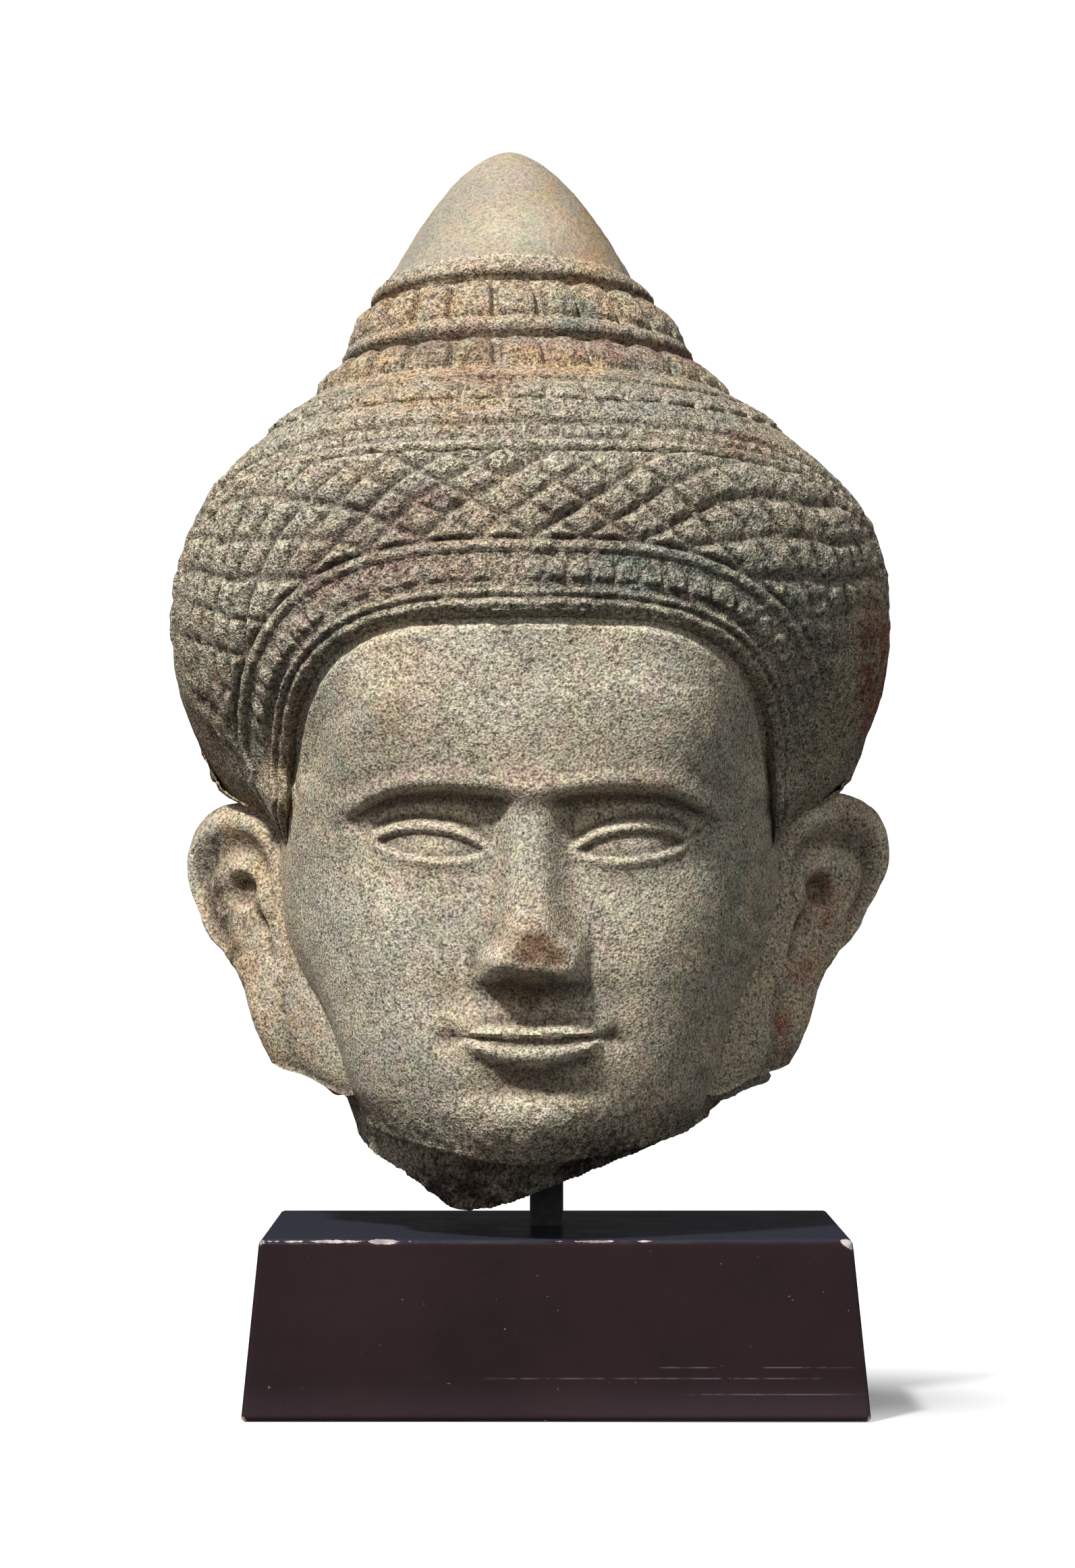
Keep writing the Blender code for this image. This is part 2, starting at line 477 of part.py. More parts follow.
def down_the_neck(x, y, z):
    """For each column, the way from the jaw in under the chin and down the neck, in many small steps."""
    turn = np.arctan2(x - NECK_X, NECK_Y - y)
    half_width = np.where(turn < 0, NECK_LEFT, NECK_RIGHT)
    radius = ring_radius(turn, half_width, NECK_FRONT, NECK_BACK, 2.0, BACK_SQUARE)
    neck_x, neck_y = NECK_X + radius * np.sin(turn), NECK_Y - radius * np.cos(turn)
    neck_z = NECK_TOP + NECK_RISE_BACKWARDS * (neck_y - NECK_Y)
    share = np.linspace(0, 1, 61)[:, None]
    under = [old + (new - old) * share for old, new in ((x, neck_x), (y, neck_y), (z, neck_z))]
    under[2] = under[2] - 2.0 * np.sin(share * math.pi)
    depth = NECK_DEPTH * share[1:]
    lean = 1 - 0.05 * share[1:]
    wall = [NECK_X + (neck_x - NECK_X) * lean, NECK_Y + (neck_y - NECK_Y) * lean, neck_z - depth]
    return [np.concatenate(pair) for pair in zip(under, wall)]


def neck_and_break(x, y, z):
    """Rows that carry on from the jaw down to the break, and then close over it."""
    way = down_the_neck(x[-1], y[-1], z[-1])
    under = way[2] < break_height(way[0], way[1])
    ends = np.maximum(under.argmax(0), NECK_ROWS)
    columns = np.arange(x.shape[1])
    rows = []
    for step in range(1, NECK_ROWS + 1):
        place = (ends * step) // NECK_ROWS
        rows.append(tuple(line[place, columns] for line in way))
    edge_x, edge_y, edge_z = rows[-1]
    for step in range(1, CAP_ROWS):
        share = 1 - step / CAP_ROWS
        cap_x, cap_y = NECK_X + (edge_x - NECK_X) * share, NECK_Y + (edge_y - NECK_Y) * share
        blend = smooth_step((share - 0.75) / 0.25)
        rows.append((cap_x, cap_y, break_height(cap_x, cap_y) * (1 - blend) + edge_z * blend))
    joined = [np.concatenate([old, np.array([row[k] for row in rows])]) for k, old in enumerate((x, y, z))]
    middle_z = break_height(np.array([NECK_X]), np.array([NECK_Y]))[0]
    return joined, (NECK_X, NECK_Y, float(middle_z))


def closed_rows(name, x, y, z, first, last):
    """A closed mesh from rows of points round a middle, with a point at each end."""
    rows, columns = x.shape
    points = [tuple(first)] + list(zip(x.ravel(), y.ravel(), z.ravel())) + [tuple(last)]
    faces = []
    for k in range(columns):
        after = (k + 1) % columns
        faces.append((0, 1 + k, 1 + after))
        for r in range(rows - 1):
            high, low = 1 + r * columns, 1 + (r + 1) * columns
            faces.append((high + k, low + k, low + after, high + after))
        low = 1 + (rows - 1) * columns
        faces.append((len(points) - 1, low + after, low + k))
    mesh = bpy.data.meshes.new(name)
    mesh.from_pydata(points, [], faces)
    work = bmesh.new()
    work.from_mesh(mesh)
    bmesh.ops.recalc_face_normals(work, faces=work.faces[:])
    work.to_mesh(mesh)
    work.free()
    return mesh


def ear_relief(p, q, rim):
    """The carving of an ear's outer face. rim is 0 at its middle and 1 at its edge."""
    helix = EAR_RIM_HEIGHT * bump(rim - 0.86, 0.1) * smooth_step((q - EAR_RIM_FROM) / 22)
    fold = EAR_FOLD_HEIGHT * bump(rim - 0.56, 0.1) * smooth_step((q - EAR_FOLD_FROM) / 14)
    fold *= smooth_step((p - 6) / 8)
    bowl = -EAR_BOWL_DEPTH * bump(p - EAR_BOWL[0], EAR_BOWL_SIZE[0]) * bump(q - EAR_BOWL[1], EAR_BOWL_SIZE[1])
    flap = EAR_FLAP_HEIGHT * bump(p - EAR_FLAP[0], EAR_FLAP_SIZE[0]) * bump(q - EAR_FLAP[1], EAR_FLAP_SIZE[1])
    middle = LOBE_SLIT_MIDDLE[0] + (q - LOBE_SLIT_MIDDLE[1]) * LOBE_SLIT_SLANT
    slit = -LOBE_SLIT_DEPTH * bump(p - middle, LOBE_SLIT_WIDTH)
    slit *= smooth_step((LOBE_SLIT_TOP - q) / 8) * smooth_step((q - LOBE_SLIT_FOOT) / 6)
    return helix + fold + bowl + flap + slit


def ear_mesh(name, hand, wider_top, higher_top):
    """One ear as a closed leaf. hand is 1 for the side towards +X and -1 for the other."""
    outline = np.array(EAR_OUTLINE, float)
    upper = smooth_step((outline[:, 1] - EAR_UPPER_FROM) / (EAR_UPPER_TO - EAR_UPPER_FROM))
    outline[:, 0] *= 1 + wider_top * upper
    outline[:, 1] += higher_top * upper
    middle = np.array(EAR_MIDDLE)
    arms = outline - middle
    angles = np.unwrap(np.arctan2(arms[:, 1], arms[:, 0]))
    lengths = np.linalg.norm(arms, axis=1)
    order = np.argsort(angles)
    angles, lengths = angles[order], lengths[order]
    spokes = np.linspace(angles[0], angles[0] + 2 * math.pi, EAR_SPOKES, endpoint=False)
    reach = np.interp(spokes, np.append(angles, angles[0] + 2 * math.pi), np.append(lengths, lengths[0]))
    spread = math.radians(EAR_SPREAD_DEG)
    tangent = np.array([math.cos(spread), math.sin(spread)])
    outward = np.array([math.sin(spread), -math.cos(spread)])

    def layer(share, lift, carved):
        p = middle[0] + share * reach * np.cos(spokes)
        q = middle[1] + share * reach * np.sin(spokes)
        height = lift + (ear_relief(p, q, share) if carved else 0 * p)
        x = EAR_FOOT_X + p * tangent[0] + height * outward[0]
        y = EAR_FOOT_Y + p * tangent[1] + height * outward[1]
        return hand * x, y, q

    layers = []
    for ring in range(1, EAR_RINGS):
        share = ring / EAR_RINGS
        layers.append(layer(share, 4.6, True))
    layers.append(layer(0.985, 2.6, False))
    layers.append(layer(1.0, 0.0, False))
    layers.append(layer(0.95, -0.45 * EAR_THICKNESS, False))
    layers.append(layer(0.7, -0.85 * EAR_THICKNESS, False))
    layers.append(layer(0.35, -EAR_THICKNESS, False))
    x, y, z = (np.array([row[k] for row in layers]) for k in range(3))
    ends = []
    for share, lift, carved in ((0.0, 4.6, True), (0.0, -EAR_THICKNESS, False)):
        end = layer(share, lift, carved)
        ends.append((end[0][0], end[1][0], end[2][0]))
    return closed_rows(name, x, y, z, ends[0], ends[1])


def finish(name, colour, roughness, metallic):
    material = bpy.data.materials.new(name)
    material.use_nodes = True
    shader = material.node_tree.nodes["Principled BSDF"]
    shader.inputs["Base Color"].default_value = (*colour, 1)
    shader.inputs["Roughness"].default_value = roughness
    shader.inputs["Metallic"].default_value = metallic
    return material


def add_object(name, mesh, collection, material=None):
    made = bpy.data.objects.new(name, mesh)
    collection.objects.link(made)
    if material:
        made.data.materials.append(material)
    return made


def as_cutter(made):
    made.hide_render = True
    made.display_type = "WIRE"
    return made


def add_bar(name, width, low, high, collection, material=None):
    """An upright square bar between two heights, where the rod stands."""
    mesh = bpy.data.meshes.new(name)
    work = bmesh.new()
    bmesh.ops.create_cube(work, size=1.0)
    bmesh.ops.scale(work, vec=(width, width, high - low), verts=work.verts)
    bmesh.ops.translate(work, vec=(-ROD_LEFT_OF_CENTRE, 0, (low + high) / 2), verts=work.verts)
    work.to_mesh(mesh)
    work.free()
    return add_object(name, mesh, collection, material)


def add_bevel(made, width, segments):
    edge = made.modifiers.new("softened edges", "BEVEL")
    edge.width = width
    edge.segments = segments


def boolean(target, cutter, operation):
    step = target.modifiers.new(operation.lower(), "BOOLEAN")
    step.operation = operation
    step.object = cutter
    step.solver = "EXACT"


def make_head(collection, cutters, stone):
    """The carved stone, one solid: head, headdress, ears and the broken neck."""
    (x, y, z), last = neck_and_break(*stone_rows())
    tip_x, tip_y, tip_z = placed(np.array([0.0]), np.array([TIP]), np.array([0.0]))
    mesh = closed_rows("head", x, y, z, (tip_x[0], tip_y[0], tip_z[0]), last)
    head = add_object("head", mesh, collection, stone)
    for side, hand, wider, higher in EARS:
        ear = as_cutter(add_object(f"ear_{side}", ear_mesh(f"ear_{side}", hand, wider, higher), cutters))
        ear.parent = head
        boolean(head, ear, "UNION")
    thin = head.modifiers.new("fewer faces", "DECIMATE")
    count = sum(len(face.vertices) - 2 for face in mesh.polygons) + 4 * EAR_SPOKES * EAR_RINGS
    thin.ratio = STONE_TRIANGLES / count
    thin.use_collapse_triangulate = True
    head.scale = (PART, PART, PART)
    head.location = (-HEAD_LEFT_OF_CENTRE, 0, PLINTH_HEIGHT + STONE_ABOVE_PLINTH)
    return head


def make_plinth(collection, wood):
    """A block of wood that narrows upwards, with softened edges."""
    mesh = bpy.data.meshes.new("plinth")
    work = bmesh.new()
    bmesh.ops.create_cube(work, size=1.0)
    for corner in work.verts:
        top = corner.co.z > 0
        width = PLINTH_TOP_WIDTH if top else PLINTH_BASE_WIDTH
        depth = PLINTH_TOP_DEPTH if top else PLINTH_BASE_DEPTH
        corner.co.x *= width
        corner.co.y *= depth
        corner.co.z = PLINTH_HEIGHT if top else 0.0
    work.to_mesh(mesh)
    work.free()
    plinth = add_object("plinth", mesh, collection, wood)
    add_bevel(plinth, PLINTH_EDGE_ROUND, 3)
    return plinth


def main():
    for old in list(bpy.data.objects):
        bpy.data.objects.remove(old)
    parts = bpy.data.collections.new("sandstone head on a plinth")
    cutters = bpy.data.collections.new("cutters")
    for made in (parts, cutters):
        bpy.context.scene.collection.children.link(made)
    stone = finish("sandstone", *STONE_FINISH)
    wood = finish("lacquered wood", *LACQUER_FINISH)
    steel = finish("painted steel", *STEEL_FINISH)

    rod_low = PLINTH_HEIGHT - ROD_DEPTH_IN_PLINTH
    rod_high = PLINTH_HEIGHT + STONE_ABOVE_PLINTH + ROD_DEPTH_IN_STONE
    rod = add_bar("rod", ROD_WIDTH, rod_low, rod_high, parts, steel)
    add_bevel(rod, ROD_CHAMFER, 1)
    socket = as_cutter(add_bar("rod_socket", ROD_WIDTH + 2 * FIT_GAP, rod_low - FIT_GAP, rod_high + FIT_GAP,
                               cutters))
    head = make_head(parts, cutters, stone)
    plinth = make_plinth(parts, wood)
    for bored in (head, plinth):
        boolean(bored, socket, "DIFFERENCE")
    head.data.shade_smooth()


main()
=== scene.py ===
"""A carved sandstone head held by a steel rod above a lacquered wooden plinth, on a white studio floor."""

import math

import bmesh
import bpy
import numpy as np
from mathutils import Euler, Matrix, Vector


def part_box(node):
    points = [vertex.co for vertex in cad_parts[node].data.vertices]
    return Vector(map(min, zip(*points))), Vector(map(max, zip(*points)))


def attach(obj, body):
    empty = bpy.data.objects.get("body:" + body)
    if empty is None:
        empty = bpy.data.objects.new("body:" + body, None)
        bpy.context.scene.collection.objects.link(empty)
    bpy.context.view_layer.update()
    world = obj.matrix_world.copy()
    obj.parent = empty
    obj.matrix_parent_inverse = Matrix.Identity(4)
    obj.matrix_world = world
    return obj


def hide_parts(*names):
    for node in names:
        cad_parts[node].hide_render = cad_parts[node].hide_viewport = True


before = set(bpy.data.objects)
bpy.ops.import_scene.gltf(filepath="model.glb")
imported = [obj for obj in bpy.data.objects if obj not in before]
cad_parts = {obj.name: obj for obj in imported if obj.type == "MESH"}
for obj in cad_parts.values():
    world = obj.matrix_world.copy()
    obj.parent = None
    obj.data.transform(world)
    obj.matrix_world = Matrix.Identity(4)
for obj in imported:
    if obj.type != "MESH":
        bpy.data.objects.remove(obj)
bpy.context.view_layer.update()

# Where the stone stands over the plinth, in metres. Its own sizes below are in millimetres
PLINTH_LOW, PLINTH_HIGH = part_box("plinth")
HEAD_AXIS_X = -0.0085
NECK_LOWEST_Z = PLINTH_HIGH[2] + 0.0065
MILLIMETRE = 0.001

# The photograph's view
PHOTO_HEIGHT_PX = 2324
SENSOR_MM = 36.0
FOCAL_PX = 7944
CAMERA_PLACE = (-0.009, -1.92, 0.188)
CAMERA_PITCH_UP_DEG = 0.94
CAMERA_YAW_RIGHT_DEG = 0.083

# The studio's light: a small key from the upper left in front, and an even fill
KEY_PLACE, KEY_SIZE, KEY_POWER = (-0.84, -1.38, 2.20), 0.22, 106.0
FILL = 0.62
# The floor's glow is painted darkest at the plinth's right side, a painted shadow, and is white from
# SHADE_REACH metres away
SHADE_MIDDLE, SHADE_NEAR, SHADE_REACH, GLOW_IN_SHADE = (0.09, -0.005, 0.0), 0.03, 0.15, 0.20

# Mesh density
CROWN_COLUMNS, CROWN_CROWDING = 680, 0.34
FACE_COLUMNS, FACE_CROWDING = 440, 0.45
FACE_ROW_STEP = 1.05
HEM_ROW_STEP, TOP_ROW_STEP, MIDDLE_ROWS, OUTER_ROWS = 0.72, 0.8, 36, 22
TIER_ROW_STEP, CONE_ROW_STEP = 1.0, 1.8
EAR_SPOKES, EAR_RINGS = 150, 40

# The headdress. Heights are in millimetres above the neck's lowest point
TIP = 379.5
CONE_BASE, CONE_RADIUS, CONE_SWELL = 329.8, 45.0, 0.585
# The cone's foot leans back: how fast it rises towards the front, and the place where it doesn't
CONE_FOOT_RISE, CONE_FOOT_Y = 0.165, 12.0
CROWN_HEM, CROWN_FOOT = 149.0, 133.0
JAW, NECK_TOP = 50.0, 41.0
TOP_ROLL = 268.3

# Half widths at heights, down the side
SIDE_PROFILE = (
    (CONE_BASE, CONE_RADIUS), (329.0, 46.2), (327.4, 48.6), (325.4, 50.4), (323.6, 51.0), (322.4, 50.2),
    (321.4, 51.6), (317.6, 54.8), (312.0, 58.4), (308.2, 59.8), (307.4, 59.4), (306.6, 60.6),
    (305.2, 62.6), (303.6, 63.5), (302.0, 63.3), (301.0, 62.9), (299.8, 65.0), (295.0, 70.2),
    (291.6, 73.0), (290.4, 73.2), (288.6, 74.4), (286.0, 79.0), (281.5, 86.0), (276.6, 91.2),
    (275.0, 92.6), (272.0, 96.6), (266.5, 103.2), (259.5, 110.2), (252.5, 116.2), (245.5, 120.1),
    (238.0, 122.8), (230.5, 125.4), (223.5, 127.0), (215.5, 128.2), (208.5, 128.8), (201.5, 128.6),
    (194.5, 128.0), (187.0, 127.0), (179.5, 125.0), (172.5, 122.2), (165.0, 119.0), (157.5, 115.4),
    (CROWN_HEM, 111.8), (146.0, 108.0), (141.5, 100.0), (137.5, 93.5), (CROWN_FOOT, 90.5),
)
# How deep the rings are to the front and to the back, as shares of their half width, and how square
CROWN_FRONT_SHARE = ((TIP, 1.0), (291, 1.02), (275, 1.0), (267, 0.955), (253, 0.9), (235, 0.87), (190, 0.868),
                     (165, 0.855), (150, 0.885), (137, 1.06), (CROWN_FOOT, 1.11))
CROWN_BACK_SHARE = ((TIP, 1.0), (291, 1.0), (267, 0.95), (235, 0.92), (205, 0.9), (150, 0.96), (137, 1.03))
CROWN_FRONT_SQUARE = ((TIP, 2.0), (267, 2.0), (250, 2.1), (235, 2.1), (215, 2.0), (205, 1.95), (196, 1.85),
                      (178, 1.65), (160, 1.55), (150, 1.5), (137, 2.2), (CROWN_FOOT, 2.35))
RING_CENTRE_X = ((TIP, -7.9), (CONE_BASE, -7.2), (315, -5.6), (298, -4.0), (284, -2.5), (268, -1.5),
                 (250, 0.0))
RING_CENTRE_Y = ((TIP, 15.8), (CONE_BASE, 12.0), (291, 12.0), (268, 10.0), (245, 5.0))
# Degrees that the rings lean back, and that the jaw's lean forwards
RING_PITCH = ((TIP, 9.5), (330, 9.2), (312, 7.4), (300, 6.2), (286, 5.0), (265, 4.3), (235, 2.1), (205, 0.0),
              (110, 0.0), (90, -4.0), (78, -8.0), (64, -13.0), (JAW, -18.0), (NECK_TOP, -17.0))

# The face and the head behind it
FACE_TOP_RING = 226.0
FACE_HALF_WIDTH = ((215, 96.0), (200, 96.0), (185, 94.5), (170, 91.5), (155, 89.5), (140, 89.5), (120, 90.0),
                   (100, 89.5), (84, 88.5), (70, 87.5), (57, 86.0), (JAW, 84.5))
FACE_FRONT = ((215, 106.5), (205, 107.5), (190, 108.0), (178, 107.5), (155, 105.0), (140, 100.5), (120, 99.5),
              (100, 100.5), (90, 102.3), (78, 104.5), (64, 107.0), (57, 106.0), (JAW, 100.0))
FACE_BACK = ((215, 117.0), (150, 97.0), (140, 95.0), (120, 92.0), (100, 86.0), (84, 80.0), (64, 74.0),
             (JAW, 71.0))
FACE_SQUARE = ((215, 3.5), (190, 3.3), (165, 2.9), (140, 2.5), (120, 2.3), (90, 2.05), (70, 1.85), (JAW, 1.6))
BACK_SQUARE = 2.15
UNDER_CROWN_GAP = 9.0
JAW_HOLLOW, JAW_HOLLOW_AT_DEG, JAW_HOLLOW_SPREAD_DEG, JAW_HOLLOW_TOP = 15.0, 66.0, 17.0, 105.0
NECK_LEFT, NECK_RIGHT, NECK_FRONT, NECK_BACK = 67.0, 88.0, 67.0, 69.0
NECK_X, NECK_Y, NECK_RISE_BACKWARDS = 2.0, 4.0, 0.23
NECK_ROWS, CAP_ROWS = 18, 34
BREAK_OUTLINE = ((-66, 36), (-62.5, 29), (-61.5, 22), (-51.5, 15.2), (-37.3, 8.6), (-28.8, 1.7), (-21.6, 0),
                 (-13.5, 1.9), (-4.8, 5.3), (11.5, 11.7), (22.5, 15.8), (38.8, 22.6), (54.5, 29.2),
                 (71.3, 35.7), (86, 42))
BREAK_RISE_BACKWARDS = 0.10

# The opening of the diadem round the face, and the bands that run beside it
ARCH_FOOT, ARCH_TOP, ARCH_HALF_WIDTH, ARCH_SQUARE = 130.0, 207.8, 86.0, 3.5
HEM_DEPTH, HEM_DROP = 6.0, 2.6
GROOVE_DEPTH, GROOVE_FROM, GROOVE_TO, HEM_REACH = 3.6, 1.2, 5.6, 0.34
# The outer border: level above the face, and then upright down the temples to behind the ears
BORDER_TURN, BORDER_FOOT, BORDER_SQUARE = math.radians(84), 144.0, 4.6
PLACE_ON_BORDER = ((0, 0), (0.34, 0.235), (0.46, 0.40), (0.58, 0.60), (0.75, 0.78), (1, 1))
BEHIND_BORDER, BACK_RISE = math.radians(15), 70.0
UNROLL_RADIUS = 112.0
TIER_FOOT = 275.0
ROLLS_FROM_HEM = ((2.5, 1.35, 1.5), (6.4, 1.25, 1.5), (22.2, 1.9, 1.9))
TABS_FROM, TABS_TO, TAB_PITCH, TAB_HEIGHT = 10.2, 18.4, 8.0, 2.3
LOZENGES_FROM, LOZENGE_LENGTH, LOZENGE_TALL, LOZENGE_HEIGHT = 25.0, 34.5, 26.5, 3.2
MAIN_GROOVE, QUARTER_GROOVE, QUARTER_DEPTH = 2.0, 1.6, 0.80
LOZENGES_BELOW_TOP = 15.5
ROLLS_BELOW_TOP = ((13.0, 2.0, 2.0), (0.0, 2.4, 2.2))
DOTS_BELOW_TOP, DOT_PITCH, DOT_SIZE, DOT_HEIGHT = 6.6, 6.4, 4.2, 1.3
HEM_DETAIL, TOP_DETAIL = 27.0, 18.0

# Tiers of petals, as (top, foot, number, depth of the cuts)
PETAL_TIERS = ((321.6, 307.6, 24, 3.9), (300.4, 289.8, 27, 3.8), (283.0, 275.2, 40, 2.2))

# The face keeps to thirds of its height and fifths of its width
CHIN = 20.0
THIRD = (ARCH_TOP - CHIN) / 3
BROW = ARCH_TOP - THIRD
NOSE_FOOT = CHIN + THIRD
MOUTH = NOSE_FOOT - THIRD / 3
EYE = BROW - THIRD / 4
FIFTH = 2 * ARCH_HALF_WIDTH / 5
EYE_OUT, EYE_HALF_WIDTH, NOSE_HALF_WIDTH = FIFTH, FIFTH / 2, FIFTH / 2
MOUTH_HALF_WIDTH = 0.78 * FIFTH

# The ears
EAR_FOOT_X, EAR_FOOT_Y, EAR_SPREAD_DEG, EAR_THICKNESS = 88.0, -14.0, 42.0, 11.0
EAR_MIDDLE = (15.0, 101.0)
EARS = (("right", 1, 0.2, 3.5), ("left", -1, 0.0, 0.0))
EAR_OUTLINE = ((28, 144), (36, 141), (43.8, 134.5), (47.4, 123.4), (44.3, 114), (39.6, 105.7), (34.6, 96.5),
               (27.5, 90.5), (21, 83), (15, 73), (12, 64), (8.5, 54), (1, 49.8), (-9, 48.5), (-20, 45.5),
               (-32, 39.5), (-40, 37), (-40, 60), (-30, 76), (-18, 92), (-10, 104), (-6, 116), (-2, 132),
               (10, 142))

# Where the stone takes other tints, as (sideways, height, half width, half height, strength); the dark ones
# are partly painted shade on undersides and under the hem, the pale ones partly painted light
TINT_PLACES = {
    "ochre": ((22, 352, 16, 26, 0.8), (-45, 318, 30, 12, 0.8), (0, 322, 60, 12, 0.6), (-15, 296, 70, 8, 0.9),
              (-104, 88, 20, 52, 0.7), (-102, 136, 14, 8, 0.9), (-50, 181, 19, 24, 0.4),
              (-62, 38, 22, 22, 0.3), (-4, 88, 12, 30, 0.55), (110, 78, 14, 40, 0.4),
              (-115, 200, 14, 50, 0.55), (-40, 278, 36, 9, 0.7), (-66, 258, 26, 8, 0.6),
              (-86, 60, 16, 16, 0.6), (-88, 158, 8, 22, 0.6)),
    "rose": ((-62, 222, 38, 12, 0.8), (-36, 240, 22, 14, 0.7), (-84, 196, 10, 34, 0.5), (30, 302, 36, 5, 0.9),
             (-10, 306, 50, 4, 0.6), (-30, 150, 40, 6, 0.5), (45, 147, 34, 5, 0.5), (8, 212, 8, 8, 0.7),
             (-118, 165, 6, 18, 0.8), (20, 236, 10, 12, 0.5), (-16, 290, 16, 6, 0.5)),
    "green": ((44, 218, 46, 12, 0.95), (14, 314, 12, 8, 0.8), (80, 224, 26, 26, 0.7), (64, 120, 20, 46, 0.6),
              (30, 176, 40, 22, 0.3), (-100, 230, 20, 26, 0.5), (40, 296, 14, 5, 0.6), (56, 70, 24, 26, 0.4),
              (70, 256, 50, 10, 0.45), (-70, 128, 16, 40, 0.45), (98, 200, 12, 40, 0.5)),
    "rust": ((122, 188, 7, 30, 0.95), (74, 268, 12, 5, 0.7), (103, 110, 6, 12, 0.9), (116, 140, 7, 4, 0.8),
             (89, 63, 5, 14, 0.85), (95, 84, 7, 5, 0.8), (-22, 16, 14, 8, 0.4)),
    "dark_and_painted_shade": ((-116, 127, 4, 9, 0.95), (-111, 108, 5, 15, 0.95), (-107, 95, 4, 8, 0.8), (-22, 4, 40, 12, 0.95),
             (40, 18, 50, 10, 0.9), (118, 136, 8, 12, 0.5), (98, 44, 14, 10, 0.8), (60, 211, 20, 4, 0.7),
             (-26, 301, 22, 5, 0.4), (70, 30, 24, 8, 0.8), (-104, 134, 12, 3, 0.5), (-64, 38, 16, 5, 0.8),
             (-84, 46, 10, 4, 0.6), (40, 212, 22, 3, 0.6)),
    "pale_and_painted_light": ((-4, 348, 16, 10, 0.5), (8, 188, 66, 24, 0.85), (-104, 212, 22, 40, 0.8),
             (-62, 268, 40, 14, 0.6), (-62, 88, 26, 34, 0.45), (30, 100, 24, 20, 0.4), (-10, 32, 34, 14, 0.5),
             (-90, 250, 26, 22, 0.35), (-10, 262, 70, 10, 0.4), (-92, 84, 8, 26, 0.4)),
}

# The width of the sandstone's grains, in metres
GRAIN = 0.0009


def smooth_step(value):
    t = np.clip(value, 0.0, 1.0)
    return t * t * (3 - 2 * t)


def bump(distance, width):
    """A soft rise of height 1 at distance 0."""
    return np.exp(-((distance / width) ** 2))


def along(table, height):
    """The table's value at each height, joined by straight runs."""
    return np.interp(height, [row[0] for row in table][::-1], [row[1] for row in table][::-1])


def eased(table, height, spread=4.0):
    """The same with its corners eased, for the soft forms."""
    shifts = (-1.0, -0.5, 0.0, 0.5, 1.0)
    return sum(along(table, height + spread * shift) for shift in shifts) / len(shifts)


def lattice_value(ix, iy, iz, seed):
    """A number from 0 to 1 that depends only on the lattice point."""
    mixed = (ix * 73856093) ^ (iy * 19349663) ^ (iz * 83492791) ^ (seed * 2654435761)
    mixed = (mixed ^ (mixed >> 13)) * 1274126177
    return ((mixed ^ (mixed >> 16)) & 0xFFFF) / 65535.0


def clouds(x, y, z, size, seed=1, octaves=1):
    """Smooth noise from -1 to 1 with swells of about this size, and finer ones laid over them."""
    total, weight, sum_of_weights = 0.0, 1.0, 0.0
    for octave in range(octaves):
        at = [np.asarray(v, float) / size + 17.3 * (octave + 1) for v in (x, y, z)]
        low = [np.floor(v).astype(np.int64) for v in at]
        mix = [smooth_step(v - cell) for v, cell in zip(at, low)]
        value = 0.0
        for corner in range(8):
            step = [(corner >> k) & 1 for k in range(3)]
            share = 1.0
            for k in range(3):
                share = share * (mix[k] if step[k] else 1 - mix[k])
            value = value + share * lattice_value(*(low[k] + step[k] for k in range(3)), seed + octave)
        total = total + weight * (2 * value - 1)
        sum_of_weights += weight
        weight *= 0.5
        size *= 0.5
    return total / sum_of_weights


def crown_half_width(height):
    cone = CONE_RADIUS * (np.clip(TIP - height, 0, None) / (TIP - CONE_BASE)) ** CONE_SWELL
    return np.where(height >= CONE_BASE, cone, along(SIDE_PROFILE, height))


def ring_radius(turn, half_width, front, back, front_square, back_square):
    """Distance from a ring's centre to its edge, for a turn measured from the front."""
    across, ahead = np.abs(np.sin(turn)), np.cos(turn)
    depth = np.where(ahead > 0, front, back)
    square = np.where(ahead > 0, front_square, back_square)
    return ((across / half_width) ** square + (np.abs(ahead) / depth) ** square) ** (-1 / square)


def crown_radius(turn, height):
    half_width = crown_half_width(height)
    front = half_width * eased(CROWN_FRONT_SHARE, height)
    back = half_width * eased(CROWN_BACK_SHARE, height)
    return ring_radius(turn, half_width, front, back, eased(CROWN_FRONT_SQUARE, height), BACK_SQUARE)


def face_radius(turn, height):
    half_width = eased(FACE_HALF_WIDTH, height)
    front, back = eased(FACE_FRONT, height), eased(FACE_BACK, height)
    radius = ring_radius(turn, half_width, front, back, eased(FACE_SQUARE, height), BACK_SQUARE)
    hollow = bump(np.abs(np.degrees(turn)) - JAW_HOLLOW_AT_DEG, JAW_HOLLOW_SPREAD_DEG)
    return radius - JAW_HOLLOW * hollow * smooth_step((JAW_HOLLOW_TOP - height) / (JAW_HOLLOW_TOP - JAW))


def placed(turn, height, radius):
    """Points on rings that lean back as the headdress does, or forwards as the jaw does."""
    pitch = np.radians(eased(RING_PITCH, height))
    ahead = radius * np.cos(turn)
    x = eased(RING_CENTRE_X, height) + radius * np.sin(turn)
    y = eased(RING_CENTRE_Y, height) - ahead * np.cos(pitch)
    return np.stack([x, y, height + ahead * np.sin(pitch)], -1)


def crown_point(turn, height):
    return placed(turn, height, crown_radius(turn, height))


def crowded_turns(count, crowding):
    even = np.linspace(-math.pi, math.pi, count, endpoint=False)
    return even - crowding * np.sin(even)


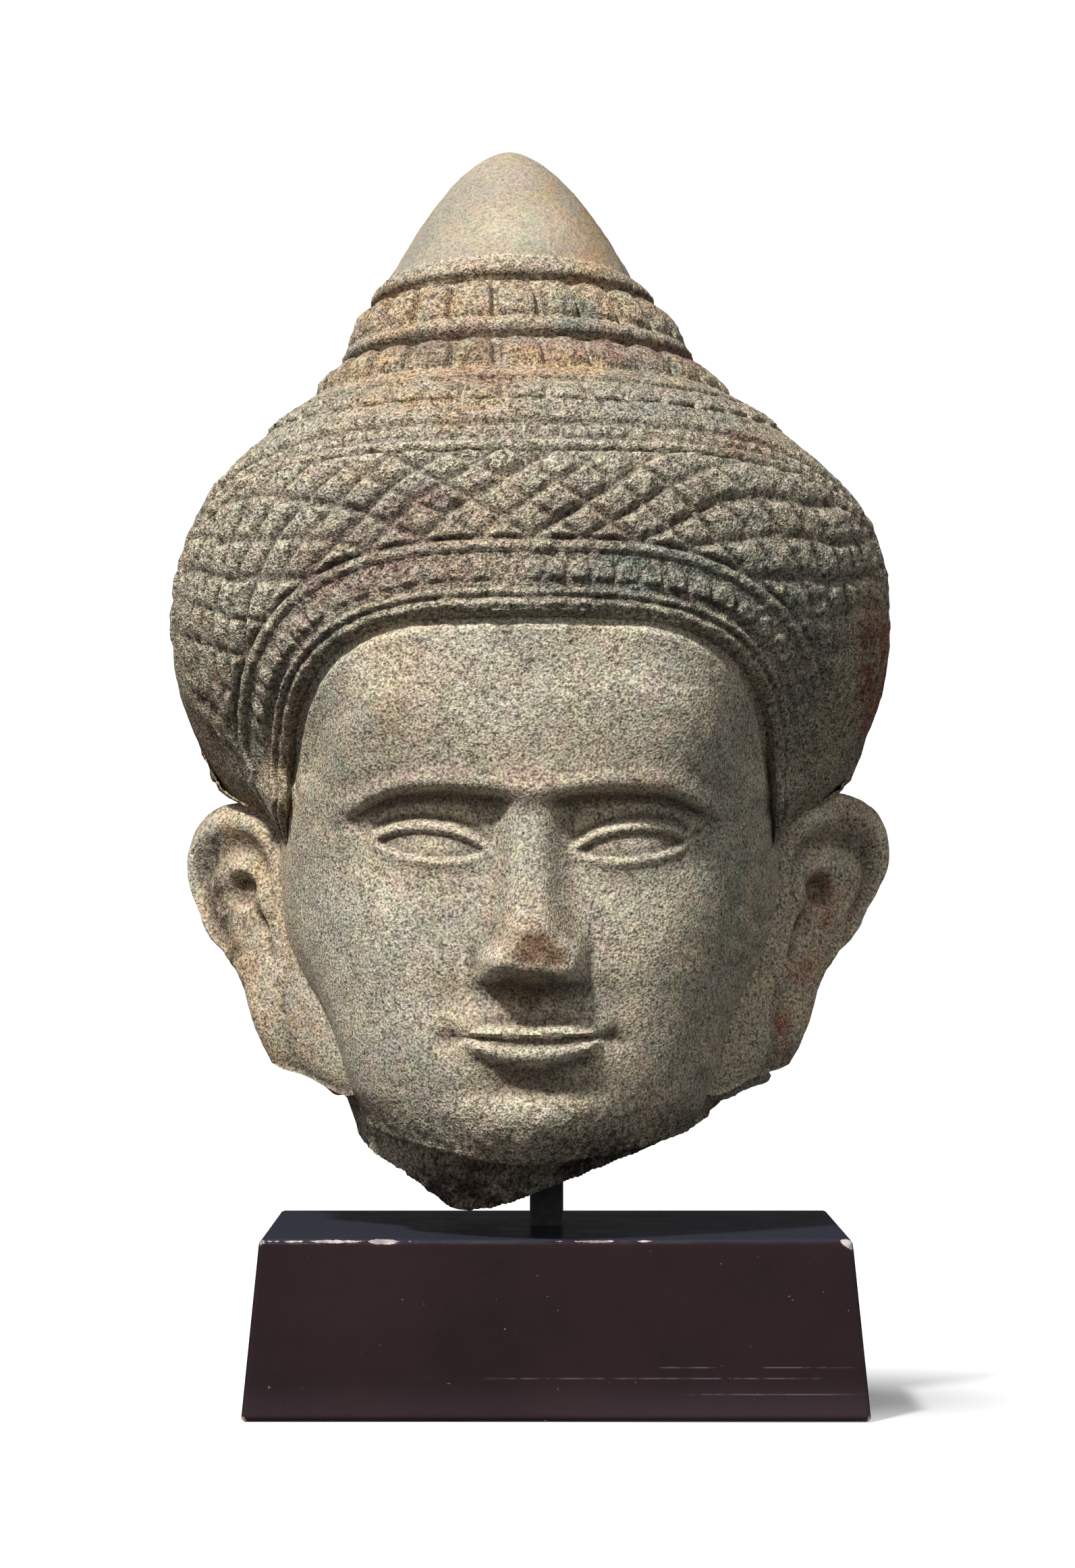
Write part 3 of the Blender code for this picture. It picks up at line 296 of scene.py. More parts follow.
def arch_line(count=801):
    """The opening's edge on the crown, as turn and height, with the length along it from the middle."""
    angle = np.linspace(0, math.pi, 20 * count)
    x = ARCH_HALF_WIDTH * -np.sign(np.cos(angle)) * np.abs(np.cos(angle)) ** (2 / ARCH_SQUARE)
    height = ARCH_FOOT + (ARCH_TOP - ARCH_FOOT) * np.sin(angle) ** (2 / ARCH_SQUARE)
    half_width = crown_half_width(height)
    square = eased(CROWN_FRONT_SQUARE, height)
    share = np.clip(np.abs(x) / half_width, 0, 1)
    ahead = half_width * eased(CROWN_FRONT_SHARE, height) * (1 - share**square) ** (1 / square)
    turn = np.arctan2(x, ahead)
    points = crown_point(turn, height)
    length = np.concatenate([[0], np.cumsum(np.linalg.norm(np.diff(points, axis=0), axis=1))])
    even = np.linspace(0, length[-1], count)
    return np.interp(even, length, turn), np.interp(even, length, height), even - length[-1] / 2


def border_line(count=401):
    """The diadem's outer border on one side, from the front down: turn, height and length along it."""
    angle = np.linspace(0, math.pi / 2, 20 * count)
    turn = BORDER_TURN * np.sin(angle) ** (2 / BORDER_SQUARE)
    height = BORDER_FOOT + (TOP_ROLL - BORDER_FOOT) * np.cos(angle) ** (2 / BORDER_SQUARE)
    points = crown_point(turn, height)
    length = np.concatenate([[0], np.cumsum(np.linalg.norm(np.diff(points, axis=0), axis=1))])
    even = np.linspace(0, length[-1], count)
    return np.interp(even, length, turn), np.interp(even, length, height), even


def outward_of(turn, height):
    """Directions square to a line of points, to its left, in the crown's unrolled plane."""
    along_turn, along_height = np.gradient(turn) * UNROLL_RADIUS, np.gradient(height)
    size = np.maximum(np.hypot(along_turn, along_height), 1e-9)
    return -along_height / size, along_turn / size


def fan_lines(turns):
    """Each column's places on the opening's edge and on the outer border, with the directions there."""
    arch_turn, arch_height, arch_length = arch_line()
    half = arch_length[-1]
    border_turn, border_height, border_length = border_line()
    side = np.sign(turns)
    share = np.linspace(0, 1, 401)
    on_border = np.interp(share, *zip(*PLACE_ON_BORDER)) * border_length[-1]
    leaves_at = np.interp(on_border, border_length, border_turn)
    leaves_at = leaves_at + BEHIND_BORDER * smooth_step((share - 0.45) / 0.55)
    share = np.interp(np.abs(turns), leaves_at, share)
    on_border = np.interp(share, *zip(*PLACE_ON_BORDER)) * border_length[-1]
    back = np.clip((np.abs(turns) - leaves_at[-1]) / (math.pi - leaves_at[-1]), 0, 1)
    behind = back > 0

    start = [np.interp(share * half, arch_length, line) for line in (arch_turn, arch_height)]
    start[0] = start[0] + (math.pi - start[0]) * back
    start[1] = start[1] + (CROWN_FOOT - ARCH_FOOT) * smooth_step(back / 0.15)
    edge = [np.interp(on_border, border_length, line) for line in (border_turn, border_height)]
    edge[0] = edge[0] + (math.pi - edge[0]) * back
    edge[1] = edge[1] + BACK_RISE * smooth_step(back / 0.3)
    start_way = [np.interp(share * half, arch_length, line) for line in outward_of(arch_turn, arch_height)]
    edge_way = [np.interp(on_border, border_length, line) for line in outward_of(border_turn, border_height)]
    upright = smooth_step(back / 0.06)
    ways = [(way[0] * (1 - upright), way[1] * (1 - upright) + upright) for way in (start_way, edge_way)]
    start[0], edge[0] = start[0] * side, edge[0] * side
    ways = [(way[0] * side, way[1]) for way in ways]
    return start, edge, ways, share * half * side, on_border * side, half, behind


def curve_between(first, last, first_way, last_way, share):
    """A smooth curve on the crown from one place to another, leaving and arriving as told."""
    span = np.hypot((last[0] - first[0]) * UNROLL_RADIUS, last[1] - first[1])
    a, b = 2 * share**3 - 3 * share**2 + 1, share**3 - 2 * share**2 + share
    c, d = 1 - a, share**3 - share**2
    turn = a * first[0] + c * last[0] + span * (b * first_way[0] + d * last_way[0]) / UNROLL_RADIUS
    height = a * first[1] + c * last[1] + span * (b * first_way[1] + d * last_way[1])
    return turn, height


def fan_of_columns(turns):
    """The crown below the tiers: rows keep their distance to the opening's edge and to the border."""
    start, edge, ways, place, border_place, half, behind = fan_lines(turns)
    share = np.linspace(0, 1, 200)[:, None]
    turn_way, height_way = curve_between(start, edge, ways[0], ways[1], share)
    steps = np.linalg.norm(np.diff(crown_point(turn_way, height_way), axis=0), axis=-1)
    length = np.concatenate([np.zeros((1, len(turns))), np.cumsum(steps, axis=0)])
    near = np.arange(0, HEM_DETAIL, HEM_ROW_STEP)
    below = np.arange(0, TOP_DETAIL, TOP_ROW_STEP)[::-1]
    middle = np.linspace(0, 1, MIDDLE_ROWS + 2)[1:-1]
    columns = []
    for k in range(len(turns)):
        total = length[-1, k]
        fit = min(1.0, total / (HEM_DETAIL + TOP_DETAIL + 6.0))
        inner, outer = near[-1] * fit, total - below[0] * fit
        wanted = np.concatenate([near * fit, inner + (outer - inner) * middle, total - below * fit])
        at = np.interp(wanted, length[:, k], share[:, 0])
        turn, height = (np.interp(at, share[:, 0], way[:, k]) for way in (turn_way, height_way))
        columns.append(np.stack([turn, height, wanted, total - wanted]))
    turn, height, distance, below_top = np.stack(columns, -1)

    level = np.full_like(turns, TIER_FOOT)
    share = (np.linspace(0, 1, OUTER_ROWS + 1)[1:] ** 1.25)[:, None]
    outer_turn, outer_height = curve_between(edge, (turns, level), ways[1], (0.0, 1.0), share)
    points = crown_point(outer_turn, outer_height)
    first = crown_point(edge[0], edge[1])[None]
    beyond = np.cumsum(np.linalg.norm(np.diff(np.concatenate([first, points]), axis=0), axis=-1), axis=0)
    turn, height = np.concatenate([turn, outer_turn]), np.concatenate([height, outer_height])
    distance = np.concatenate([distance, distance[-1] + beyond])
    below_top = np.concatenate([below_top, -beyond])
    spread = [np.broadcast_to(line, turn.shape) for line in (place, border_place, behind)]
    return turn, height, distance, below_top, spread, half


def grid_normals(points):
    """Outward directions of a grid of points whose columns run round a middle and whose rows run upwards."""
    sideways = np.roll(points, -1, axis=1) - np.roll(points, 1, axis=1)
    upwards = np.gradient(points, axis=0)
    normal = np.cross(sideways, upwards)
    size = np.linalg.norm(normal, axis=-1, keepdims=True)
    return normal / np.maximum(size, 1e-6)


def roll_moulding(distance, half_width, raised):
    """A half-round moulding that runs along distance 0."""
    return raised * np.sqrt(np.clip(1 - (distance / half_width) ** 2, 0, None))


def pad(across, reach=0.82, edge=0.16):
    """A flat-topped swelling for a place from -1 to 1."""
    return smooth_step((reach + edge / 2 - np.abs(across)) / edge)


def petal_cuts(turn, height):
    """The grooves between the petals of the tiers, as depths below their faces."""
    cut = np.zeros_like(turn)
    for number, (top, foot, count, depth) in enumerate(PETAL_TIERS):
        place = turn * count / (2 * math.pi) + 0.10 * clouds(turn * 30, 0 * turn, 0 * turn, 5.0, 20 + number)
        across = ((place + 0.5) % 1.0 - 0.5) * 2
        down = (top - height) / (top - foot)
        shoulder = np.clip((0.46 - down) / 0.46, 0, 1)
        edge = np.abs(across) ** 2.6 + 0.95 * shoulder**2.4
        inside = smooth_step((0.86 - edge) / 0.40)
        crown_of_petal = 1.7 * (1 - across**2) * smooth_step(down / 0.5)
        tier = smooth_step((top + 1.0 - height) / 1.0) * smooth_step((height - foot + 0.8) / 0.8)
        cut += (depth * (1 - inside) - crown_of_petal * inside) * tier
    return cut


def lozenge_field(along_band, distance):
    """Raised lozenges quartered by shallower grooves, each pad of its own height and none quite true."""
    flat = 0 * distance
    across = (along_band + 3.0 * clouds(along_band, distance, flat, 23.0, 31, 2)) / LOZENGE_LENGTH
    up = (distance - LOZENGES_FROM + 2.4 * clouds(along_band, distance, flat, 19.0, 32, 2)) / LOZENGE_TALL
    apart = 1 / math.hypot(1 / LOZENGE_LENGTH, 1 / LOZENGE_TALL)
    groove = np.zeros_like(distance)
    pads = []
    for slant in (1, -1):
        line = across + slant * up
        from_main = np.abs((line + 0.5) % 1.0 - 0.5) * apart
        from_quarter = np.abs((2 * line + 0.5) % 1.0 - 0.5) * apart / 2
        wide = 1.0 if slant == 1 else 1.45
        groove = np.maximum(groove, np.clip(1 - from_main / (wide * MAIN_GROOVE), 0, 1))
        quarter = np.clip(1 - from_quarter / (wide * QUARTER_GROOVE), 0, 1)
        groove = np.maximum(groove, QUARTER_DEPTH * quarter)
        pads.append(np.floor(2 * line).astype(np.int64))
    own_height = lattice_value(pads[0], pads[1], 0 * pads[0], 33)
    leaning = 0.15 * ((2 * (across + up)) % 1.0 - (2 * (across - up)) % 1.0)
    return LOZENGE_HEIGHT * (0.66 + 0.34 * own_height + leaning) * (1 - groove)


def diadem_relief(height, distance, below_top, spread, half):
    """Mouldings, tabs, lozenges and dots, as heights above the plain crown."""
    place, border_place, behind = spread
    to_foot = half - np.abs(place)
    rolls = np.zeros_like(distance)
    for at, half_width, raised in ROLLS_FROM_HEM:
        wander = 0.45 * clouds(place, 0 * place, 0 * place + at, 9.0, 36, 3)
        lumpy = 0.92 + 0.40 * clouds(place, distance, 0 * place, 3.4, 37, 2)
        rolls += lumpy * roll_moulding(distance - at + wander, half_width, raised)
    across = ((place / TAB_PITCH + 0.5) % 1.0 - 0.5) * 2
    down = (distance - TABS_FROM) / (TABS_TO - TABS_FROM)
    rounding = np.clip((down - 0.30) / 0.70, 0, 1) ** 2.0
    tab = smooth_step((0.84 - np.abs(across) ** 2.2 - rounding) / 0.55)
    number = np.floor(place / TAB_PITCH + 0.5).astype(np.int64)
    rubbed = 0.25 * smooth_step((6 - place) / 10) * smooth_step((place + 84) / 24)
    own_height = (0.66 + 0.34 * lattice_value(number, 0 * number, 0 * number, 35)) * (1 - rubbed)
    own_height = own_height * (1 + 0.5 * clouds(place, distance, 0 * place, 5.0, 38, 2))
    relief = TAB_HEIGHT * own_height * tab * smooth_step(down / 0.16) * smooth_step((1.02 - down) / 0.10)
    inner = np.clip(distance - LOZENGES_FROM, 0, None)
    outer = np.clip(below_top - LOZENGES_BELOW_TOP, 0, None)
    along_band = place + 0.5 * (border_place - place) * inner / np.clip(inner + outer, 1, None)
    relief += smooth_step(inner / 1.4) * smooth_step(outer / 1.4) * lozenge_field(along_band, distance)
    relief *= smooth_step((to_foot - 12) / 22) * smooth_step((height - 156) / 24)
    relief += rolls * smooth_step((to_foot - 2) / 8)
    relief *= smooth_step((below_top - LOZENGES_BELOW_TOP + 3) / 1.5)
    border = np.zeros_like(distance)
    for at, half_width, raised in ROLLS_BELOW_TOP:
        lumpy = 0.92 + 0.40 * clouds(border_place, below_top, 0 * place, 3.6, 39, 2)
        border += lumpy * roll_moulding(below_top - at, half_width, raised)
    dot_across = ((border_place / DOT_PITCH + 0.5) % 1.0 - 0.5) * 2
    dot_up = (below_top - DOTS_BELOW_TOP) / (DOT_SIZE / 2)
    border += DOT_HEIGHT * pad(dot_across, 0.62, 0.3) * pad(dot_up, 0.8, 0.4)
    border *= smooth_step((height - BORDER_FOOT - 34) / 34)
    return np.where(behind, 0.0, relief + border)


def back_border(turn, height):
    """A plain border along the crown's lower edge, behind the ears."""
    behind = smooth_step((np.abs(turn) - math.radians(84)) / math.radians(12))
    rolls = roll_moulding(height - CROWN_HEM - 5, 2.4, 1.8) + roll_moulding(height - CROWN_HEM - 12, 2.0, 1.6)
    return behind * rolls


def worn_share(points):
    """How much of the carving is left, from 0 to 1: least low down on the headdress's right side."""
    x, y, z = points[..., 0], points[..., 1], points[..., 2]
    patchy = 0.92 + 0.26 * clouds(x, y, z, 30.0, 41, 2) + 0.16 * clouds(x, y, z, 7.0, 43)
    rubbed = 0.55 * smooth_step((x - 66) / 34) * smooth_step((238 - z) / 34)
    return np.clip(patchy - rubbed, 0.2, 1.05)


def roughness(points, strength=1.0):
    """The weathered surface's own unevenness, too small to change the form."""
    x, y, z = points[..., 0], points[..., 1], points[..., 2]
    broad = 0.26 * clouds(x, y, z, 24.0, 51)
    fine = 0.26 * clouds(x, y, z, 6.5, 52, 2)
    grit = 0.34 * clouds(x, y, z, 2.3, 54)
    return strength * (broad + fine + grit)


def blurred(values, reach):
    """A box blur over rows, and over columns that run round."""
    total = np.zeros_like(values)
    for shift in range(-reach, reach + 1):
        total += np.roll(values, shift, axis=1)
    total /= 2 * reach + 1
    padded = np.concatenate([total[:1]] * reach + [total] + [total[-1:]] * reach)
    return sum(padded[k:k + len(values)] for k in range(2 * reach + 1)) / (2 * reach + 1)


def headdress_grids():
    """Points of the diadem and of the tiers with their cone, each with how deep in a groove they lie."""
    turns = crowded_turns(CROWN_COLUMNS, CROWN_CROWDING)
    turn, height, distance, below_top, spread, half = fan_of_columns(turns)
    base = crown_point(turn, height)
    relief = diadem_relief(height, distance, below_top, spread, half)
    relief = relief * worn_share(base) + np.where(spread[2], back_border(turn, height), 0.0)
    diadem = base + grid_normals(base) * (relief + roughness(base, 1.5))[..., None]

    tier_turn, tier_height = np.meshgrid(turns, tier_heights())
    tier = crown_point(tier_turn, tier_height)
    outward = np.stack([np.sin(tier_turn), -np.cos(tier_turn), 0.45 + 0 * tier_turn], -1)
    outward /= np.linalg.norm(outward, axis=-1, keepdims=True)
    cuts = -petal_cuts(tier_turn, tier_height) * worn_share(tier)
    cone = smooth_step((tier_height - CONE_BASE) / 6)
    lift = cuts + roughness(tier, 1.4) * (1 - 0.6 * cone) * smooth_step((TIP - tier_height) / 8)
    tier = tier + outward * lift[..., None]

    hem = hem_underside(base[0], base[1] - base[0], turn[0], height[0])
    seam = diadem[-1:]
    inside = seam + (seam.mean((0, 1)) - seam) * np.array([0.06, 0.06, 0]) - np.array([0, 0, 4.0])
    # The hem's underside and the diadem's grooves take the hollow tint, a painted shade
    hollow_below = np.concatenate([hem[..., 0] * 0 + 0.1, groove_share(relief), relief[-1:] * 0])
    # Between the petals the stone is paler than on them
    hollow_above = np.concatenate([relief[-1:] * 0, relief[-1:] * 0, -0.5 * groove_share(cuts)])
    below = np.concatenate([hem, diadem, inside])
    above = np.concatenate([inside, seam, tier])
    return below, hollow_below, above, hollow_above


def groove_share(relief, reach=3, full=1.1):
    """From -1 on what stands out to 1 in the bottom of a groove."""
    return np.clip((blurred(relief, reach) - relief) / full, -1, 1)


def tier_heights():
    """Heights of the rows above the diadem, closer on the tiers than on the cone."""
    fine = np.linspace(TIER_FOOT, CONE_BASE, 2000)
    coarse = TIP - (TIP - CONE_BASE) * np.linspace(1, 0, 400) ** 2
    line = np.concatenate([fine, coarse[1:-1]])
    width = crown_half_width(line)
    step = np.hypot(np.diff(line), np.diff(width))
    limit = np.where(line[1:] < CONE_BASE + 1, TIER_ROW_STEP, CONE_ROW_STEP)
    walked = np.concatenate([[0], np.cumsum(step / limit)])
    return np.interp(np.arange(1, int(walked[-1]) + 1), walked, line)


def hem_underside(edge, upwards, turn, height):
    """Rows from inside the head out to the hem: the diadem's thickness, slanting in to the face."""
    inward = np.stack([-np.sin(turn), np.cos(turn), 0 * turn], -1)
    straight_back = np.stack([-0.10 * np.sign(turn), 1 + 0 * turn, 0 * turn], -1)
    behind = smooth_step((np.abs(turn) - math.radians(78)) / math.radians(20))[:, None]
    way = straight_back * (1 - behind) + inward * behind
    size = np.maximum(np.linalg.norm(upwards, axis=-1, keepdims=True), 1e-6)
    opening = -upwards / size * np.array([1, 0, 1])
    full = smooth_step((height - ARCH_FOOT - 1) / 24)[:, None]
    depth = HEM_DEPTH * (0.35 + 0.65 * full)
    drop = HEM_DROP * full * (1 - behind)
    rows = []
    for back, down in ((2.4, 1.25), (1.8, 1.2), (1.35, 1.15), (1.0, 1.0), (0.75, 0.8), (0.5, 0.56),
                       (0.28, 0.32), (0.1, 0.12)):
        rows.append(edge + way * depth * back + opening * drop * down)
    return np.array(rows)


def brow_line(side):
    """Height of the brow at a distance from the middle."""
    return BROW + 3.2 * np.sin(np.clip(side / 62, 0, 1) * math.pi) - 5.5 * smooth_step((side - 44) / 26)


def eye_form(side, z):
    """The brow, the socket, the ball of the eye and its lids, as heights towards the viewer."""
    brow = brow_line(side)
    ridge = 2.2 * bump(z - brow - 2.0, 4.2) * smooth_step((76 - side) / 20)
    under = smooth_step((brow - z + 0.6) / 4.5) * smooth_step((z - (NOSE_FOOT + 22)) / 34)
    socket = -6.2 * under * smooth_step((side - 3) / 12) * smooth_step((72 - side) / 28)
    reach = (side - EYE_OUT) / (EYE_HALF_WIDTH * 1.08)
    line = EYE - 1.0 + 1.6 * reach
    ball = 5.6 * bump(side - EYE_OUT, 17.5) * bump(z - line - 1.0, 11.0)
    arc = np.clip(1 - reach**2, 0, None) ** 0.72
    upper, lower = line + 5.4 * arc, line - 4.6 * arc
    open_part = smooth_step((upper - z) / 1.3) * smooth_step((z - lower) / 1.3) * smooth_step(arc / 0.2)
    near = smooth_step((1.18 - np.abs(reach)) / 0.16)
    rim = 1.25 * (bump(z - upper - 1.1, 1.4) + 0.75 * bump(z - lower + 1.2, 1.4)) * near
    crease = -1.2 * bump(z - upper - 4.6, 1.3) * near
    tail = -0.9 * bump(z - line - 0.6 * (side - EYE_OUT - 18), 1.2) * bump(side - EYE_OUT - 22, 5)
    return ridge + socket + ball - 1.7 * open_part + rim + crease + tail


def nose_form(x, z):
    """The nose, with its tip broken off."""
    side = np.abs(x)
    profile = ((BROW + 14, 0.0), (BROW + 4, 2.6), (BROW - 4, 4.2), (EYE, 7.2), (EYE - 14, 12.5),
               (NOSE_FOOT + 18, 18.6), (NOSE_FOOT + 10, 22.0), (NOSE_FOOT + 5, 21.0), (NOSE_FOOT + 1.5, 14.0),
               (NOSE_FOOT - 2.5, 3.0), (NOSE_FOOT - 6, 0.0))
    widths = ((BROW + 14, 12.0), (BROW, 9.5), (EYE, 7.8), (EYE - 16, 8.8), (NOSE_FOOT + 16, 11.5),
              (NOSE_FOOT, 12.5))
    ridge = eased(profile, z, 1.5) / (1 + (side / eased(widths, z, 3)) ** 3.4)
    wing = 8.8 * bump(side - 0.70 * NOSE_HALF_WIDTH, 5.2) * bump(z - NOSE_FOOT - 6.5, 6.4)
    wing *= smooth_step((z - NOSE_FOOT + 2.5) / 3)
    groove = -1.7 * bump(side - 1.16 * NOSE_HALF_WIDTH, 2.4) * bump(z - NOSE_FOOT - 6.5, 8.0)
    nostril = -3.2 * bump(side - 0.46 * NOSE_HALF_WIDTH, 2.8) * bump(z - NOSE_FOOT + 0.5, 2.4)
    broken = 17.4 - 0.30 * (x - 2) + 0.10 * (z - NOSE_FOOT - 8) + 1.3 * clouds(x, 0 * x, z, 5.0, 61, 2)
    return np.minimum(ridge + wing, broken) + groove + nostril


def mouth_form(x, z):
    """Closed lips, the groove above them and the chin below."""
    side = np.abs(x)
    reach = x / MOUTH_HALF_WIDTH
    line = MOUTH + 1.6 * reach**2
    mound = 4.6 * bump(x, 31) * bump(z - MOUTH, 16)
    taper = np.clip(1 - reach**2, 0, None)
    bow = 7.0 * taper**0.8 - 1.5 * bump(x, 4.5)
    upper = 3.2 * smooth_step((line + bow - z) / 2.2) * smooth_step((z - line) / 1.6)
    upper *= smooth_step(taper / 0.35)
    full = 9.4 * taper**0.7
    lower = 3.9 * smooth_step((z - line + full) / 3.4) * smooth_step((line - z) / 1.6)
    lower *= smooth_step(taper / 0.3)
    parting = -2.0 * bump(z - line, 1.2) * smooth_step((1.10 - np.abs(reach)) / 0.12)
    corner = -2.6 * bump(side - MOUTH_HALF_WIDTH - 2, 4.2) * bump(z - MOUTH - 1.5, 4.2)
    philtrum = (0.9 * bump(side - 4.6, 2.0) - 1.3 * bump(x, 2.6)) * bump(z - MOUTH - 14, 5.5)
    under_lip = -2.8 * bump(x, 19) * bump(z - MOUTH + 15, 5.0)
    chin = 4.0 * bump(x, 19) * bump(z - CHIN - 14, 11)
    return mound + upper + lower + parting + corner + philtrum + under_lip + chin


def face_form(x, z):
    """All that stands out from or sinks into the plain oval of the face, towards the viewer."""
    side = np.abs(x)
    cheek = 3.4 * bump(side - 49, 19) * bump(z - NOSE_FOOT - 17, 21)
    temple = -1.5 * bump(side - 74, 10) * bump(z - BROW - 18, 20)
    fold = -1.2 * bump(side - 27 - 0.25 * (NOSE_FOOT - z), 5) * bump(z - NOSE_FOOT + 6, 11)
    return eye_form(side, z) + nose_form(x, z) + mouth_form(x, z) + cheek + temple + fold


def break_height(x, y):
    """Height of the broken underside, a rough fracture."""
    front = NECK_Y - NECK_FRONT * np.sqrt(np.clip(1 - (x / NECK_RIGHT) ** 2, 0, 1))
    rise = BREAK_RISE_BACKWARDS * np.clip(y - front, 0, None)
    rough = 1.4 + 2.4 * clouds(x, y, 0 * x, 17.0, 71, 3)
    heights = [row[1] for row in BREAK_OUTLINE]
    return np.interp(x, [row[0] for row in BREAK_OUTLINE], heights) + rise + np.clip(rough, 0, None)


def face_grid():
    """Points of the face, the nape, the neck and the break, and how deep in a groove each lies."""
    turns = crowded_turns(FACE_COLUMNS, FACE_CROWDING)
    count = int((FACE_TOP_RING - JAW) / FACE_ROW_STEP)
    height, turn = np.meshgrid(np.linspace(FACE_TOP_RING, JAW, count), turns, indexing="ij")
    under_crown = crown_radius(turn, np.maximum(height, CROWN_FOOT)) - UNDER_CROWN_GAP
    covered = smooth_step((height - CROWN_HEM) / 8) * smooth_step((np.abs(turn) - math.radians(70)) / 0.2)
    radius = face_radius(turn, height)
    radius = np.where(under_crown < radius, radius + (under_crown - radius) * covered, radius)
    radius = behind_hem(turn, height, radius)
    points = placed(turn, height, radius)
    in_face = smooth_step(np.cos(turn) / 0.25) * smooth_step((FACE_TOP_RING - 4 - height) / 8)
    lift = face_form(points[..., 0], points[..., 2]) * in_face
    points[..., 1] -= lift
    neck = neck_rows(points[-1])
    hollow = np.concatenate([groove_share(lift, 3, 0.9), np.zeros(neck.shape[:2])])[::-1]
    points = np.concatenate([points, neck])[::-1]
    rougher_below = 0.55 + 1.0 * smooth_step((52 - points[..., 2]) / 20)
    fades = smooth_step(np.arange(len(points)) / 12.0)[:, None]
    rough = roughness(points, rougher_below) * fades
    return points + grid_normals(points) * rough[..., None], hollow


def behind_hem(turn, height, radius):
    """The face's radius beside the hem: level with it, and sunk in a groove that runs along the hem."""
    crown = crown_radius(turn, height)
    x = crown * np.sin(turn)
    up = np.clip(height - ARCH_FOOT, 0, None) / (ARCH_TOP - ARCH_FOOT)
    inside = 1 - ((np.abs(x) / ARCH_HALF_WIDTH) ** ARCH_SQUARE + up**ARCH_SQUARE) ** (1 / ARCH_SQUARE)
    full = smooth_step((height - ARCH_FOOT - 6) / 26)
    full *= smooth_step((math.radians(80) - np.abs(turn)) / math.radians(12))
    near = full * smooth_step((HEM_REACH - inside) / HEM_REACH)
    level = np.clip(radius, crown - 2.0, crown + 0.6)
    from_hem = inside * (ARCH_TOP - ARCH_FOOT)
    sunk = GROOVE_DEPTH * (1 - smooth_step((from_hem - GROOVE_FROM) / (GROOVE_TO - GROOVE_FROM)))
    return radius + (level - radius) * near - sunk * full


def neck_rows(jaw):
    """Rows from the jaw in under the chin and down the neck to the break, and over the break."""
    x, y, z = jaw[:, 0], jaw[:, 1], jaw[:, 2]
    turn = np.arctan2(x - NECK_X, NECK_Y - y)
    half_width = np.where(turn < 0, NECK_LEFT, NECK_RIGHT)
    radius = ring_radius(turn, half_width, NECK_FRONT, NECK_BACK, 2.0, BACK_SQUARE)
    neck_x, neck_y = NECK_X + radius * np.sin(turn), NECK_Y - radius * np.cos(turn)
    neck_z = NECK_TOP + NECK_RISE_BACKWARDS * (neck_y - NECK_Y)
    share = np.linspace(0, 1, 121)[:, None]
    under = [old + (new - old) * share for old, new in ((x, neck_x), (y, neck_y), (z, neck_z))]
    under[2] = under[2] - 2.0 * np.sin(share * math.pi)
    lean = 1 - 0.05 * share[1:]
    wall = [NECK_X + (neck_x - NECK_X) * lean, NECK_Y + (neck_y - NECK_Y) * lean, neck_z - 60.0 * share[1:]]
    way = [np.concatenate(pair) for pair in zip(under, wall)]
    ends = np.maximum((way[2] < break_height(way[0], way[1])).argmax(0), NECK_ROWS)
    columns = np.arange(len(x))
    rows = [np.stack([line[(ends * step) // NECK_ROWS, columns] for line in way], -1)
            for step in range(1, NECK_ROWS + 1)]
    edge = rows[-1]
    for step in range(1, CAP_ROWS):
        share = 1 - step / CAP_ROWS
        cap_x, cap_y = NECK_X + (edge[:, 0] - NECK_X) * share, NECK_Y + (edge[:, 1] - NECK_Y) * share
        blend = smooth_step((share - 0.85) / 0.15)
        cap_z = break_height(cap_x, cap_y) * (1 - blend) + edge[:, 2] * blend
        rows.append(np.stack([cap_x, cap_y, cap_z], -1))
    return np.array(rows)


def ear_relief(p, q, rim):
    """The carving of an ear's outer face. rim is 0 at its middle and 1 at its edge."""
    outer = smooth_step((p + 2) / 10)
    helix = 3.2 * bump(rim - 0.86, 0.11) * smooth_step((q - 78) / 24) * outer
    gutter = -2.0 * bump(rim - 0.64, 0.09) * smooth_step((q - 96) / 14) * outer
    ridge = 1.6 * bump(rim - 0.44, 0.10) * smooth_step((q - 112) / 10) * smooth_step((p - 8) / 8)
    hole = -4.4 * smooth_step((1.3 - np.hypot((p - 16.5) / 6.8, (q - 113) / 6.0)) / 0.9)
    flap = 2.8 * bump(p - 4.5, 3.6) * bump(q - 110, 7.0)
    slot = -3.4 * bump(p - 7, 2.2) * bump(q - 102, 4.5)
    cheek_line = -2.2 * bump(p - 2 - 0.37 * (q - 92), 1.6)
    cheek_line = cheek_line * smooth_step((q - 86) / 5) * smooth_step((106 - q) / 5)
    lobe = 1.2 * bump(p - 6, 10) * bump(q - 72, 20)
    fold = -0.6 * bump(p + 6 - 0.12 * (q - 62), 3.4) * smooth_step((84 - q) / 8)
    return helix + gutter + ridge + hole + flap + slot + cheek_line + lobe + fold


